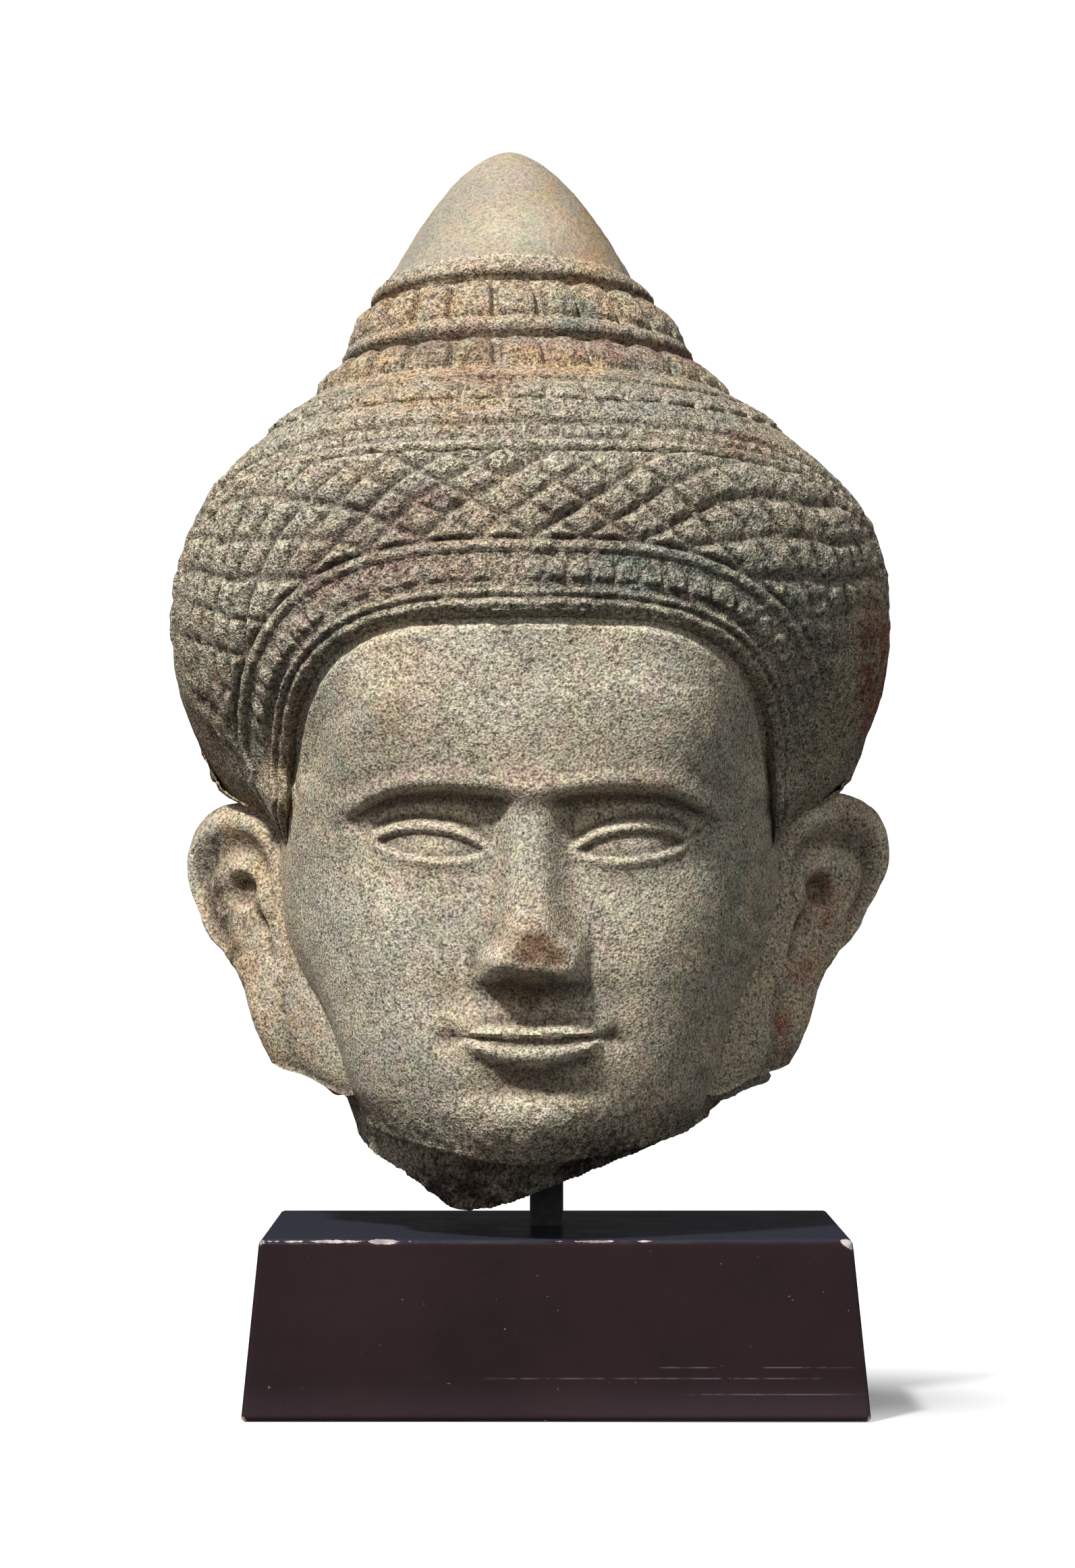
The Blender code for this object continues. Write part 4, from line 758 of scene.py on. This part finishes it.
def ear_grid(wider_top, higher_top):
    """Points of an ear as a leaf, from its outer face's middle round to its back's middle, on the +X side."""
    outline = np.array(EAR_OUTLINE, float)
    upper = smooth_step((outline[:, 1] - 92) / 40)
    outline[:, 0] *= 1 + wider_top * upper
    outline[:, 1] += higher_top * upper
    arms = outline - np.array(EAR_MIDDLE)
    angles = np.unwrap(np.arctan2(arms[:, 1], arms[:, 0]))
    lengths = np.linalg.norm(arms, axis=1)
    order = np.argsort(angles)
    angles, lengths = angles[order], lengths[order]
    full = 2 * math.pi
    spokes = np.linspace(angles[0], angles[0] + full, EAR_SPOKES, endpoint=False)
    wide_angles = np.concatenate([angles - full, angles, angles + full])
    wide_lengths = np.tile(lengths, 3)
    shifts = np.radians((-5, -2.5, 0, 2.5, 5))
    reach = sum(np.interp(spokes + shift, wide_angles, wide_lengths) for shift in shifts) / len(shifts)
    spread = math.radians(EAR_SPREAD_DEG)
    tangent, outward = (math.cos(spread), math.sin(spread)), (math.sin(spread), -math.cos(spread))
    layers = [(ring / EAR_RINGS, 4.6 * (1 - (ring / EAR_RINGS) ** 7), 1.0) for ring in range(1, EAR_RINGS)]
    layers += [(0.995, 1.2, 0.0), (1.0, -0.5, 0.0), (0.985, -2.6, 0.0), (0.94, -4.8, 0.0), (0.86, -7.2, 0.0),
               (0.72, -9.4, 0.0), (0.5, -10.6, 0.0), (0.25, -EAR_THICKNESS, 0.0)]
    rows, hollow = [], []
    for share, lift, carved in layers:
        p, q = EAR_MIDDLE[0] + share * reach * np.cos(spokes), EAR_MIDDLE[1] + share * reach * np.sin(spokes)
        relief = ear_relief(p, q, share) * carved
        height = lift + relief
        x = EAR_FOOT_X + p * tangent[0] + height * outward[0]
        y = EAR_FOOT_Y + p * tangent[1] + height * outward[1]
        rows.append(np.stack([x, y, q], -1))
        hollow.append(relief)
    points, depth = np.array(rows), np.array(hollow)
    points += grid_normals(points) * roughness(points, -0.8)[..., None]
    return points, groove_share(depth, 4, 1.2)


def patch_share(places, x, z, seed):
    """Ragged-edged patches of tint, from 0 to 1."""
    ragged = 0.55 * clouds(x, 0 * x, z, 16.0, seed, 3)
    total = np.zeros_like(x)
    for at_x, at_z, half_width, half_height, strength in places:
        near = np.hypot((x - at_x) / half_width, (z - at_z) / half_height)
        total = np.maximum(total, strength * smooth_step((1.35 - near + ragged) / 0.8))
    return total


def stone_tints(points, hollow):
    """The amount of each tint at each point, from 0 to 1."""
    x, y, z = points[:, 0], points[:, 1], points[:, 2]
    front = smooth_step((50 - y) / 50)
    # hollow is painted shade in the grooves; raised makes what stands out paler
    tints = {"hollow": np.clip(hollow, 0, 1), "raised": np.clip(-hollow, 0, 1)}
    for number, (name, places) in enumerate(TINT_PLACES.items()):
        most = 0.35 if name == "rust" else 0.7
        behind = np.clip(1.6 * clouds(x, y, z, 46.0, 90 + number, 3) - 0.25, 0, most)
        tints[name] = patch_share(places, x, z, 80 + number) * front + behind * (1 - front)
    on_nose = np.hypot(x - 1, (z - NOSE_FOOT - 8) * 1.1)
    tints["fresh"] = smooth_step((13.5 - on_nose) / 5) * smooth_step((-104 - y) / 4)
    return tints


def closed_mesh(name, points, first, last):
    """A closed mesh from rows of points round a middle, lowest row first, with a point at each end."""
    rows, columns = points.shape[:2]
    flat = np.concatenate([[first], points.reshape(-1, 3), [last]])
    k = np.arange(columns)
    after = (k + 1) % columns
    faces = [tuple(face) for face in np.stack([0 * k, 1 + after, 1 + k], 1).tolist()]
    for row in range(rows - 1):
        low, high = 1 + row * columns, 1 + (row + 1) * columns
        ring = np.stack([low + k, low + after, high + after, high + k], 1)
        faces += [tuple(face) for face in ring.tolist()]
    top = 1 + (rows - 1) * columns
    faces += [tuple(face) for face in np.stack([top + k, top + after, 0 * k + len(flat) - 1], 1).tolist()]
    mesh = bpy.data.meshes.new(name)
    mesh.from_pydata(flat.tolist(), [], faces)
    return mesh


def carved_piece(name, points, hollow, first, last, coarse, hand=1):
    """A stone piece in its place, with its tints, standing for the head."""
    mesh = closed_mesh(name, points, first, last)
    flat = np.concatenate([[first], points.reshape(-1, 3), [last]])
    depth = np.concatenate([[0], hollow.ravel(), [0]])
    flat[:, 0] *= hand
    tints = stone_tints(flat, depth)
    below_cone = smooth_step((CONE_BASE + 1 - flat[:, 2] - CONE_FOOT_RISE * (flat[:, 1] - CONE_FOOT_Y)) / 3)
    tints["coarse"] = np.maximum(coarse * below_cone, smooth_step((50 - flat[:, 2]) / 20))
    for tint, amount in tints.items():
        layer = mesh.attributes.new(tint, "FLOAT", "POINT")
        layer.data.foreach_set("value", amount.astype(np.float32))
    flat = flat * MILLIMETRE + np.array([HEAD_AXIS_X, 0, NECK_LOWEST_Z])
    mesh.vertices.foreach_set("co", flat.astype(np.float32).ravel())
    made = add_piece(name, mesh, "head", sandstone())
    work = bmesh.new()
    work.from_mesh(mesh)
    bmesh.ops.recalc_face_normals(work, faces=work.faces[:])
    work.to_mesh(mesh)
    work.free()
    mesh.shade_smooth()
    mesh.set_sharp_from_angle(angle=math.radians(75))
    return made


def add_piece(name, mesh, node, material):
    made = bpy.data.objects.new(name, mesh)
    bpy.context.scene.collection.objects.link(made)
    mesh.materials.append(material)
    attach(made, "root")
    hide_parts(node)
    return made


def linear(hex_colour):
    """A #rrggbb colour as linear red, green, blue and alpha."""
    parts = [int(hex_colour[k:k + 2], 16) / 255 for k in (1, 3, 5)]
    return tuple(c / 12.92 if c <= 0.04045 else ((c + 0.055) / 1.055) ** 2.4 for c in parts) + (1.0,)


def add_node(owner, kind, inputs=None, output=0, **settings):
    """Adds a node with its settings. inputs, by name or number, are values or other nodes' outputs."""
    node = owner.node_tree.nodes.new("ShaderNode" + kind)
    for name, value in settings.items():
        setattr(node, name, value)
    for name, value in (inputs or {}).items():
        socket = node.inputs[name]
        if isinstance(value, bpy.types.NodeSocket):
            owner.node_tree.links.new(value, socket)
        else:
            socket.default_value = value
    return node.outputs[output]


def new_material(name):
    """A material with its shader node, and the place on the object in metres."""
    made = bpy.data.materials.new(name)
    made.use_nodes = True
    return made, made.node_tree.nodes["Principled BSDF"], add_node(made, "TexCoord", output="Object")


def link(owner, output, node, name):
    owner.node_tree.links.new(output, node.inputs[name])


def sandstone():
    """Carved sandstone, long weathered: dull grains, mineral tints partly painted light and shade, painted
    shade in the grooves and pits, and paler raised places.
    """
    made = bpy.data.materials.get("weathered sandstone")
    if made:
        return made
    made, shader, place = new_material("weathered sandstone")
    # Broad mottling, a few centimetres across
    cloudy = add_node(made, "TexNoise", {"Vector": place, "Scale": 1 / 0.045, "Detail": 4.0})
    cloudy = add_node(made, "MapRange", {"Value": cloudy, "From Min": 0.38, "From Max": 0.62})
    broad = {0: cloudy, 6: linear("#ab9d86"), 7: linear("#969081")}
    colour = add_node(made, "Mix", broad, 2, data_type="RGBA")
    # Mineral tints in ragged patches; the dark ones are partly painted shade and the pale ones partly painted
    # light
    tints = (("ochre", "#ab8d6b", 0.010), ("rose", "#8a6a60", 0.008), ("green", "#757c70", 0.009),
             ("rust", "#8c5743", 0.006), ("pale_and_painted_light", "#beb5a0", 0.012), ("dark_and_painted_shade", "#3d3129", 0.008))
    for tint, tone, size in tints:
        edges = {"Vector": place, "Scale": 1 / size, "Detail": 6.0, "Roughness": 0.7}
        ragged = add_node(made, "TexNoise", edges)
        ragged = add_node(made, "MapRange", {"Value": ragged, "From Min": 0.36, "From Max": 0.58})
        amount = add_node(made, "Attribute", output="Fac", attribute_name=tint)
        share = add_node(made, "Math", {0: amount, 1: ragged}, operation="MULTIPLY")
        colour = add_node(made, "Mix", {0: share, 6: colour, 7: linear(tone)}, 2, data_type="RGBA")
    # A fresher break shows browner stone; the grooves are darkened as painted shade, and what stands out is
    # made paler, as are the gaps between the petals
    for name, tone, most in (("fresh", "#74563f", 0.9), ("hollow", "#564b40", 0.76),
                             ("raised", "#c3b8a1", 0.42)):
        amount = add_node(made, "Attribute", output="Fac", attribute_name=name)
        share = add_node(made, "Math", {0: amount, 1: most}, operation="MULTIPLY")
        colour = add_node(made, "Mix", {0: share, 6: colour, 7: linear(tone)}, 2, data_type="RGBA")

    # Sand grains about a millimetre wide, each its own tone, with the pits between them darkened as painted
    # shade
    grains = {"Vector": place, "Scale": 1 / GRAIN, "Detail": 1.5, "Roughness": 0.6}
    sand = add_node(made, "TexNoise", grains)
    pitting = {"Vector": place, "Scale": 1 / (2.3 * GRAIN), "Detail": 3.0, "Roughness": 0.75}
    pits = add_node(made, "TexNoise", pitting)
    pits = add_node(made, "MapRange", {"Value": pits, "From Min": 0.33, "From Max": 0.47})
    bright = add_node(made, "MapRange", {"Value": sand, "From Min": 0.30, "From Max": 0.70, "To Min": -0.72,
                                         "To Max": 0.72})
    coarse = add_node(made, "Attribute", output="Fac", attribute_name="coarse")
    contrast = add_node(made, "MapRange", {"Value": coarse, "From Max": 0.3, "To Min": 0.45})
    bright = add_node(made, "Math", {0: bright, 1: contrast, 2: 1.0}, operation="MULTIPLY_ADD")
    colour = add_node(made, "Mix", {0: 1.0, 6: colour, 7: bright}, 2, data_type="RGBA", blend_type="MULTIPLY")
    # How dark the painted shade in the pits goes, less on the smooth cone
    deep = add_node(made, "MapRange", {"Value": coarse, "From Max": 0.3, "To Min": 0.78, "To Max": 0.46})
    shade = add_node(made, "MapRange", {"Value": pits, "To Min": deep, "To Max": 1.05})
    colour = add_node(made, "Mix", {0: 1.0, 6: colour, 7: shade}, 2, data_type="RGBA", blend_type="MULTIPLY")
    # The rough carving is darkened a little and the smooth cone more, as painted shade
    carving_painted_shade = add_node(made, "MapRange", {"Value": coarse, "From Min": 0.3, "To Min": 1.0, "To Max": 0.86})
    cone_painted_shade = add_node(made, "MapRange", {"Value": coarse, "From Max": 0.3, "To Min": 0.74})
    carving_painted_shade = add_node(made, "Math", {0: carving_painted_shade, 1: cone_painted_shade}, operation="MULTIPLY")
    colour = add_node(made, "Mix", {0: 1.0, 6: colour, 7: carving_painted_shade}, 2, data_type="RGBA", blend_type="MULTIPLY")
    # Faint flecks of colour, some 7 mm across
    specks = add_node(made, "TexNoise", {"Vector": place, "Scale": 1 / 0.007, "Detail": 1.5}, "Color")
    colour = add_node(made, "Mix", {0: 0.12, 6: colour, 7: specks}, 2, data_type="RGBA", blend_type="OVERLAY")
    link(made, colour, shader, "Base Color")

    height = add_node(made, "Math", {0: sand, 1: 1.2, 2: pits}, operation="MULTIPLY_ADD")
    strength = add_node(made, "MapRange", {"Value": coarse, "To Min": 0.25, "To Max": 1.0})
    relief = add_node(made, "Bump", {"Height": height, "Strength": strength, "Distance": 0.0012})
    link(made, relief, shader, "Normal")
    shader.inputs["Roughness"].default_value = 0.93
    shader.inputs["Specular IOR Level"].default_value = 0.2
    return made


def lacquer():
    """Aubergine-black lacquer on wood: smooth, satin to gloss, flaked to a pale ground along the edges."""
    made, shader, place = new_material("lacquered wood")
    cloudy = add_node(made, "TexNoise", {"Vector": place, "Scale": 1 / 0.05, "Detail": 5.0, "Roughness": 0.6})
    cloudy = add_node(made, "MapRange", {"Value": cloudy, "From Min": 0.35, "From Max": 0.65})
    coat = {0: cloudy, 6: linear("#1c0e11"), 7: linear("#261519")}
    colour = add_node(made, "Mix", coat, 2, data_type="RGBA")
    # Dust that lies low down on the sides, and the top painted a cooler blue-black, a painted reflection
    for name, tone, most in (("dusty", "#3f3337", 0.5), ("top", "#2a2a37", 1.0)):
        amount = add_node(made, "Attribute", output="Fac", attribute_name=name)
        share = add_node(made, "Math", {0: amount, 1: most}, operation="MULTIPLY")
        colour = add_node(made, "Mix", {0: share, 6: colour, 7: linear(tone)}, 2, data_type="RGBA")
    # Specks half a millimetre wide where the lacquer is pricked
    speck = add_node(made, "TexNoise", {"Vector": place, "Scale": 1 / 0.0014, "Detail": 0.0})
    speck = add_node(made, "MapRange", {"Value": speck, "From Min": 0.86, "From Max": 0.90, "To Max": 0.5})
    colour = add_node(made, "Mix", {0: speck, 6: colour, 7: linear("#9a8f88")}, 2, data_type="RGBA")
    # Long level scratches low on the front, a third of a millimetre wide
    level = add_node(made, "SeparateXYZ", {0: place}, 2)
    across = add_node(made, "SeparateXYZ", {0: place}, 0)
    broken = add_node(made, "TexNoise", {"Vector": place, "Scale": 1 / 0.007, "Detail": 3.0})
    broken = add_node(made, "MapRange", {"Value": broken, "From Min": 0.40, "From Max": 0.56, "To Max": 0.5})
    for height, start, end in SCRATCHES:
        off = add_node(made, "Math", {0: level, 1: height}, operation="SUBTRACT")
        off = add_node(made, "Math", {0: off}, operation="ABSOLUTE")
        share = add_node(made, "MapRange", {"Value": off, "From Min": 0.0003, "From Max": 0.0001})
        for near, far in ((start, start + 0.01), (end, end - 0.02)):
            within = add_node(made, "MapRange", {"Value": across, "From Min": near, "From Max": far})
            share = add_node(made, "Math", {0: share, 1: within}, operation="MULTIPLY")
        share = add_node(made, "Math", {0: share, 1: broken}, operation="MULTIPLY")
        colour = add_node(made, "Mix", {0: share, 6: colour, 7: linear("#77696a")}, 2, data_type="RGBA")
    # Flakes, in millimetres of bare ground beyond the edge, with ragged borders
    bare = add_node(made, "Attribute", output="Fac", attribute_name="bare")
    edges = {"Vector": place, "Scale": 1 / 0.003, "Detail": 5.0, "Roughness": 0.75}
    ragged = add_node(made, "TexNoise", edges)
    ragged = add_node(made, "Math", {0: ragged, 1: 3.0, 2: -1.5}, operation="MULTIPLY_ADD")
    flaked = add_node(made, "Math", {0: bare, 1: ragged}, operation="ADD")
    flaked = add_node(made, "MapRange", {"Value": flaked, "From Min": 0.0, "From Max": 0.12})
    tone = add_node(made, "TexNoise", {"Vector": place, "Scale": 1 / 0.006, "Detail": 4.0})
    tone = add_node(made, "MapRange", {"Value": tone, "From Min": 0.46, "From Max": 0.62})
    ground = add_node(made, "Mix", {0: tone, 6: linear("#857b7d"), 7: linear("#b3aaa2")}, 2, data_type="RGBA")
    foot = add_node(made, "Attribute", output="Fac", attribute_name="foot")
    ground = add_node(made, "Mix", {0: foot, 6: ground, 7: linear("#a67a52")}, 2, data_type="RGBA")
    colour = add_node(made, "Mix", {0: flaked, 6: colour, 7: ground}, 2, data_type="RGBA")
    link(made, colour, shader, "Base Color")
    smear = add_node(made, "TexNoise", {"Vector": place, "Scale": 1 / 0.018, "Detail": 4.0, "Roughness": 0.6})
    smear = add_node(made, "MapRange", {"Value": smear, "From Min": 0.3, "From Max": 0.7, "To Min": 0.18,
                                        "To Max": 0.32})
    dull = add_node(made, "Math", {0: flaked, 1: 0.5, 2: smear}, operation="MULTIPLY_ADD")
    link(made, dull, shader, "Roughness")
    shader.inputs["Specular IOR Level"].default_value = 0.24
    wavy = add_node(made, "TexNoise", {"Vector": place, "Scale": 1 / 0.010, "Detail": 3.0})
    wavy = add_node(made, "Math", {0: flaked, 1: -0.8, 2: wavy}, operation="MULTIPLY_ADD")
    relief = add_node(made, "Bump", {"Height": wavy, "Strength": 0.25, "Distance": 0.0005})
    link(made, relief, shader, "Normal")
    return made


def black_paint():
    """Satin black paint on steel bar, slightly dusty, with the fine orange peel of a sprayed coat."""
    made, shader, place = new_material("painted steel")
    dust = add_node(made, "TexNoise", {"Vector": place, "Scale": 1 / 0.006, "Detail": 4.0, "Roughness": 0.65})
    dust = add_node(made, "MapRange", {"Value": dust, "From Min": 0.4, "From Max": 0.75})
    colour = add_node(made, "Mix", {0: dust, 6: linear("#121214"), 7: linear("#262628")}, 2, data_type="RGBA")
    link(made, colour, shader, "Base Color")
    smear = add_node(made, "TexNoise", {"Vector": place, "Scale": 1 / 0.003, "Detail": 3.0})
    smear = add_node(made, "MapRange", {"Value": smear, "From Min": 0.3, "From Max": 0.7, "To Min": 0.36,
                                        "To Max": 0.56})
    link(made, smear, shader, "Roughness")
    peel = add_node(made, "TexNoise", {"Vector": place, "Scale": 1 / 0.0012, "Detail": 2.0})
    relief = add_node(made, "Bump", {"Height": peel, "Strength": 0.2, "Distance": 0.0002})
    link(made, relief, shader, "Normal")
    return made


def white_studio(name, glow_near):
    """Matt paper that glows white to the camera, its glow painted down to glow_near about SHADE_MIDDLE as a
    painted shadow, and that throws little light back on the stone.
    """
    made, shader, place = new_material(name)
    seen = add_node(made, "LightPath", output="Is Camera Ray")
    tone = add_node(made, "Mix", {0: seen, 6: linear("#484848"), 7: linear("#a0a0a0")}, 2, data_type="RGBA")
    link(made, tone, shader, "Base Color")
    shader.inputs["Roughness"].default_value = 1.0
    shader.inputs["Specular IOR Level"].default_value = 0.0
    shader.inputs["Emission Color"].default_value = (1, 1, 1, 1)
    # A painted shadow: the glow drops to glow_near about SHADE_MIDDLE, for camera rays only
    away = add_node(made, "VectorMath", {0: place, 1: SHADE_MIDDLE}, "Value", operation="DISTANCE")
    glow = add_node(made, "MapRange", {"Value": away, "From Min": SHADE_NEAR, "From Max": SHADE_REACH,
                                       "To Min": glow_near, "To Max": 1.0})
    link(made, add_node(made, "Math", {0: glow, 1: seen}, operation="MULTIPLY"), shader, "Emission Strength")
    return made


# The plinth
PLINTH_TOP_HALF_WIDTH = (PLINTH_HIGH[0] - PLINTH_LOW[0]) / 2 - 0.006
PLINTH_TOP_HALF_DEPTH = (PLINTH_HIGH[1] - PLINTH_LOW[1]) / 2 - 0.006
PLINTH_FLARE = 0.006
PLINTH_ROUND = 0.0012
# Flakes along the front top edge, as (middle from the left corner, half length, drop), in millimetres
TOP_FLAKES = ((4.6, 2.6, 0.9), (12, 3.9, 1.4), (26.2, 8.7, 1.7), (42.6, 5.4, 2.7), (51.7, 1.4, 1.0),
              (102.6, 2.2, 0.8), (115.4, 7.6, 1.4), (131.5, 2.6, 1.1), (202, 2.8, 3.4))
# Scratches on the front, as (height, start, end), in metres
SCRATCHES = ((0.0148, -0.026, 0.098), (0.0185, 0.030, 0.106), (0.0094, 0.040, 0.110),
             (0.0151, -0.046, -0.038))


def plinth_steps(half, fine=0.0016):
    """Places from -half to half, evenly spaced, with extra ones close to both ends."""
    even = np.linspace(-half, half, int(2 * half / fine))
    extra = np.array([0.0003, 0.0007, 0.0012, 0.002, 0.003])
    return np.unique(np.concatenate([even, half - extra, extra - half]))


def plinth_piece():
    """The block, as a grid wrapped over a tapering box with rounded, knocked edges."""
    height = PLINTH_HIGH[2]
    up = (plinth_steps(height / 2, 0.003) + height / 2) / height
    corners = ((-1, -1), (1, -1), (1, 1), (-1, 1))
    ring_x, ring_y = [], []
    for (ax, ay), (bx, by) in zip(corners, corners[1:] + corners[:1]):
        half = PLINTH_TOP_HALF_WIDTH if ay == by else PLINTH_TOP_HALF_DEPTH
        share = (plinth_steps(half)[:-1] / half + 1) / 2
        ring_x.append(ax + (bx - ax) * share)
        ring_y.append(ay + (by - ay) * share)
    unit = np.stack([np.concatenate(ring_x), np.concatenate(ring_y)], 1)
    rows = []
    for level in up:
        grow = PLINTH_FLARE * (1 - level)
        half = np.array([PLINTH_TOP_HALF_WIDTH + grow, PLINTH_TOP_HALF_DEPTH + grow])
        rows.append(np.concatenate([unit * half, np.full((len(unit), 1), level * height)], 1))
    inset = [0.0003, 0.0008, 0.0016, 0.003, 0.006, 0.012, 0.025, 0.045]
    for step in inset:
        half = np.array([PLINTH_TOP_HALF_WIDTH - step, PLINTH_TOP_HALF_DEPTH - step])
        rows.append(np.concatenate([unit * half, np.full((len(unit), 1), height)], 1))
    for step in inset[:5]:
        half = np.array([PLINTH_TOP_HALF_WIDTH, PLINTH_TOP_HALF_DEPTH]) + PLINTH_FLARE - step
        rows.insert(0, np.concatenate([unit * half, np.zeros((len(unit), 1))], 1))
    points = np.array(rows)
    wear = plinth_wear(points)
    mesh = closed_mesh("plinth_block", knocked_edges(points, wear["bare"]), (0, 0, 0), (0, 0, height))
    for name, amount in wear.items():
        layer = mesh.attributes.new(name, "FLOAT", "POINT")
        values = np.concatenate([amount[0, :1], amount.ravel(), amount[-1, :1]])
        layer.data.foreach_set("value", values.astype(np.float32))
    made = add_piece("plinth_block", mesh, "plinth", lacquer())
    mesh.shade_smooth()
    mesh.set_sharp_from_angle(angle=math.radians(50))
    return made


def inside_faces(points):
    """Metres that each point lies inside the block's sides, its front and back, and its top and bottom."""
    height = PLINTH_HIGH[2]
    grow = PLINTH_FLARE * (1 - points[..., 2] / height)
    return np.stack([PLINTH_TOP_HALF_WIDTH + grow - np.abs(points[..., 0]),
                     PLINTH_TOP_HALF_DEPTH + grow - np.abs(points[..., 1]),
                     np.minimum(points[..., 2], height - points[..., 2])], -1)


def plinth_wear(points):
    """For each point: millimetres of bare ground beyond it, dust, and its shares of the top and foot."""
    x, y, z = points[..., 0], points[..., 1], points[..., 2]
    inside = inside_faces(points) * 1000
    near = np.sort(inside, axis=-1)
    from_edge = np.hypot(near[..., 0], near[..., 1])
    patchy = clouds(x * 1000, y * 1000, z * 1000, 11.0, 101, 3)
    bare = 0.9 * patchy - 0.55 - from_edge
    upper_front = (y < 0) & (z > PLINTH_HIGH[2] / 2)
    from_front_top = np.hypot(inside[..., 1], inside[..., 2])
    for middle, half_length, fall in TOP_FLAKES:
        off = np.abs((x + PLINTH_TOP_HALF_WIDTH) * 1000 - middle) / half_length
        reach = 0.62 * fall * np.clip(1.15 - off**3, 0, 1)
        bare = np.maximum(bare, np.where(upper_front & (off < 1.1), reach - from_front_top - 0.2, -9))
    corner = np.linalg.norm(inside, axis=-1)
    right_top = (x > 0) & upper_front
    bare = np.maximum(bare, np.where(right_top, 3.4 - corner, 1.6 - corner))
    dusty = smooth_step((0.016 - z) / 0.014) * (0.6 + 0.4 * smooth_step((x + 0.02) / 0.06))
    # top marks the upper face, which takes the painted reflection tone
    return {"bare": bare, "dusty": dusty, "top": smooth_step((z - PLINTH_HIGH[2] + 0.0006) / 0.0006),
            "foot": smooth_step((0.004 - z) / 0.002) * np.clip(0.5 + patchy, 0, 1)}


def knocked_edges(points, bare):
    """The block's points with its edges rounded and its flakes sunk."""
    inside = inside_faces(points)
    near = np.sort(inside, axis=-1)
    close = smooth_step((0.0022 - np.hypot(near[..., 0], near[..., 1])) / 0.0022)
    sink = 0.6 * PLINTH_ROUND * close**2 + 0.0003 * smooth_step(bare + 0.5)
    way = np.sign(points - np.array([0, 0, PLINTH_HIGH[2] / 2])) * (inside < 0.0022)
    size = np.maximum(np.linalg.norm(way, axis=-1, keepdims=True), 1.0)
    return points - way / size * sink[..., None]


def studio():
    """A floor and backdrop that glow white to the camera, the floor with a painted shadow, a small key from
    the upper left, an even fill and the camera.
    """
    floor = bpy.data.objects.new("floor", bpy.data.meshes.new("floor"))
    work = bmesh.new()
    bmesh.ops.create_grid(work, x_segments=1, y_segments=1, size=8.0)
    work.to_mesh(floor.data)
    work.free()
    floor.location = (0, 0, PLINTH_LOW[2] - 0.0002)
    floor.data.materials.append(white_studio("white floor with painted shadow", GLOW_IN_SHADE))
    backdrop = bpy.data.objects.new("backdrop", floor.data.copy())
    backdrop.rotation_euler = (math.radians(90), 0, 0)
    backdrop.location = (0, 4.0, 0)
    backdrop.data.materials.clear()
    backdrop.data.materials.append(white_studio("white backdrop", 1.0))
    for made in (floor, backdrop):
        bpy.context.scene.collection.objects.link(made)
    world = bpy.data.worlds.new("studio")
    world.use_nodes = True
    seen = add_node(world, "LightPath", output="Is Camera Ray")
    strength = add_node(world, "MapRange", {"Value": seen, "To Min": FILL, "To Max": 1.0})
    background = world.node_tree.nodes["Background"]
    background.inputs["Color"].default_value = (1, 1, 1, 1)
    link(world, strength, background, "Strength")
    bpy.context.scene.world = world
    add_light("key", KEY_PLACE, (0, 0, 0.26), KEY_SIZE, KEY_POWER)
    camera = bpy.data.objects.new("camera", bpy.data.cameras.new("camera"))
    camera.data.sensor_fit = "VERTICAL"
    camera.data.sensor_height = SENSOR_MM
    camera.data.lens = SENSOR_MM * FOCAL_PX / PHOTO_HEIGHT_PX
    camera.location = CAMERA_PLACE
    pitch, yaw = math.radians(90 + CAMERA_PITCH_UP_DEG), -math.radians(CAMERA_YAW_RIGHT_DEG)
    camera.rotation_euler = Euler((pitch, 0, yaw))
    bpy.context.scene.collection.objects.link(camera)
    bpy.context.scene.camera = camera
    bpy.context.scene.view_settings.view_transform = "Standard"


def add_light(name, place, target, size, power):
    light = bpy.data.objects.new(name, bpy.data.lights.new(name, "AREA"))
    light.data.size = size
    light.data.energy = power
    light.location = place
    light.rotation_euler = (Vector(place) - Vector(target)).to_track_quat("Z", "Y").to_euler()
    bpy.context.scene.collection.objects.link(light)


studio()

diadem_points, diadem_hollow, tier_points, tier_hollow = headdress_grids()
tip = tuple(placed(np.array(0.0), np.array(TIP), 0.0))
carved_piece("diadem", diadem_points, diadem_hollow, (0, 0, 190), (0, 10, 250), 1.0)
carved_piece("crown_tiers", tier_points, tier_hollow, (0, 10, 250), tip, 0.8)

face_points, face_hollow = face_grid()
break_middle = (NECK_X, NECK_Y, float(break_height(np.array(NECK_X), np.array(NECK_Y))))
carved_piece("face_and_neck", face_points, face_hollow, break_middle, (0, 5, FACE_TOP_RING), 0.3)

for side, hand, wider, higher in EARS:
    ear_points, ear_hollow = ear_grid(wider, higher)
    ends = [tuple(ear_points[end].mean(0)) for end in (0, -1)]
    carved_piece(f"ear_{side}", ear_points, ear_hollow, *ends, 0.35, hand)

plinth_piece()
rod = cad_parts["rod"]
rod.data.materials.clear()
rod.data.materials.append(black_paint())
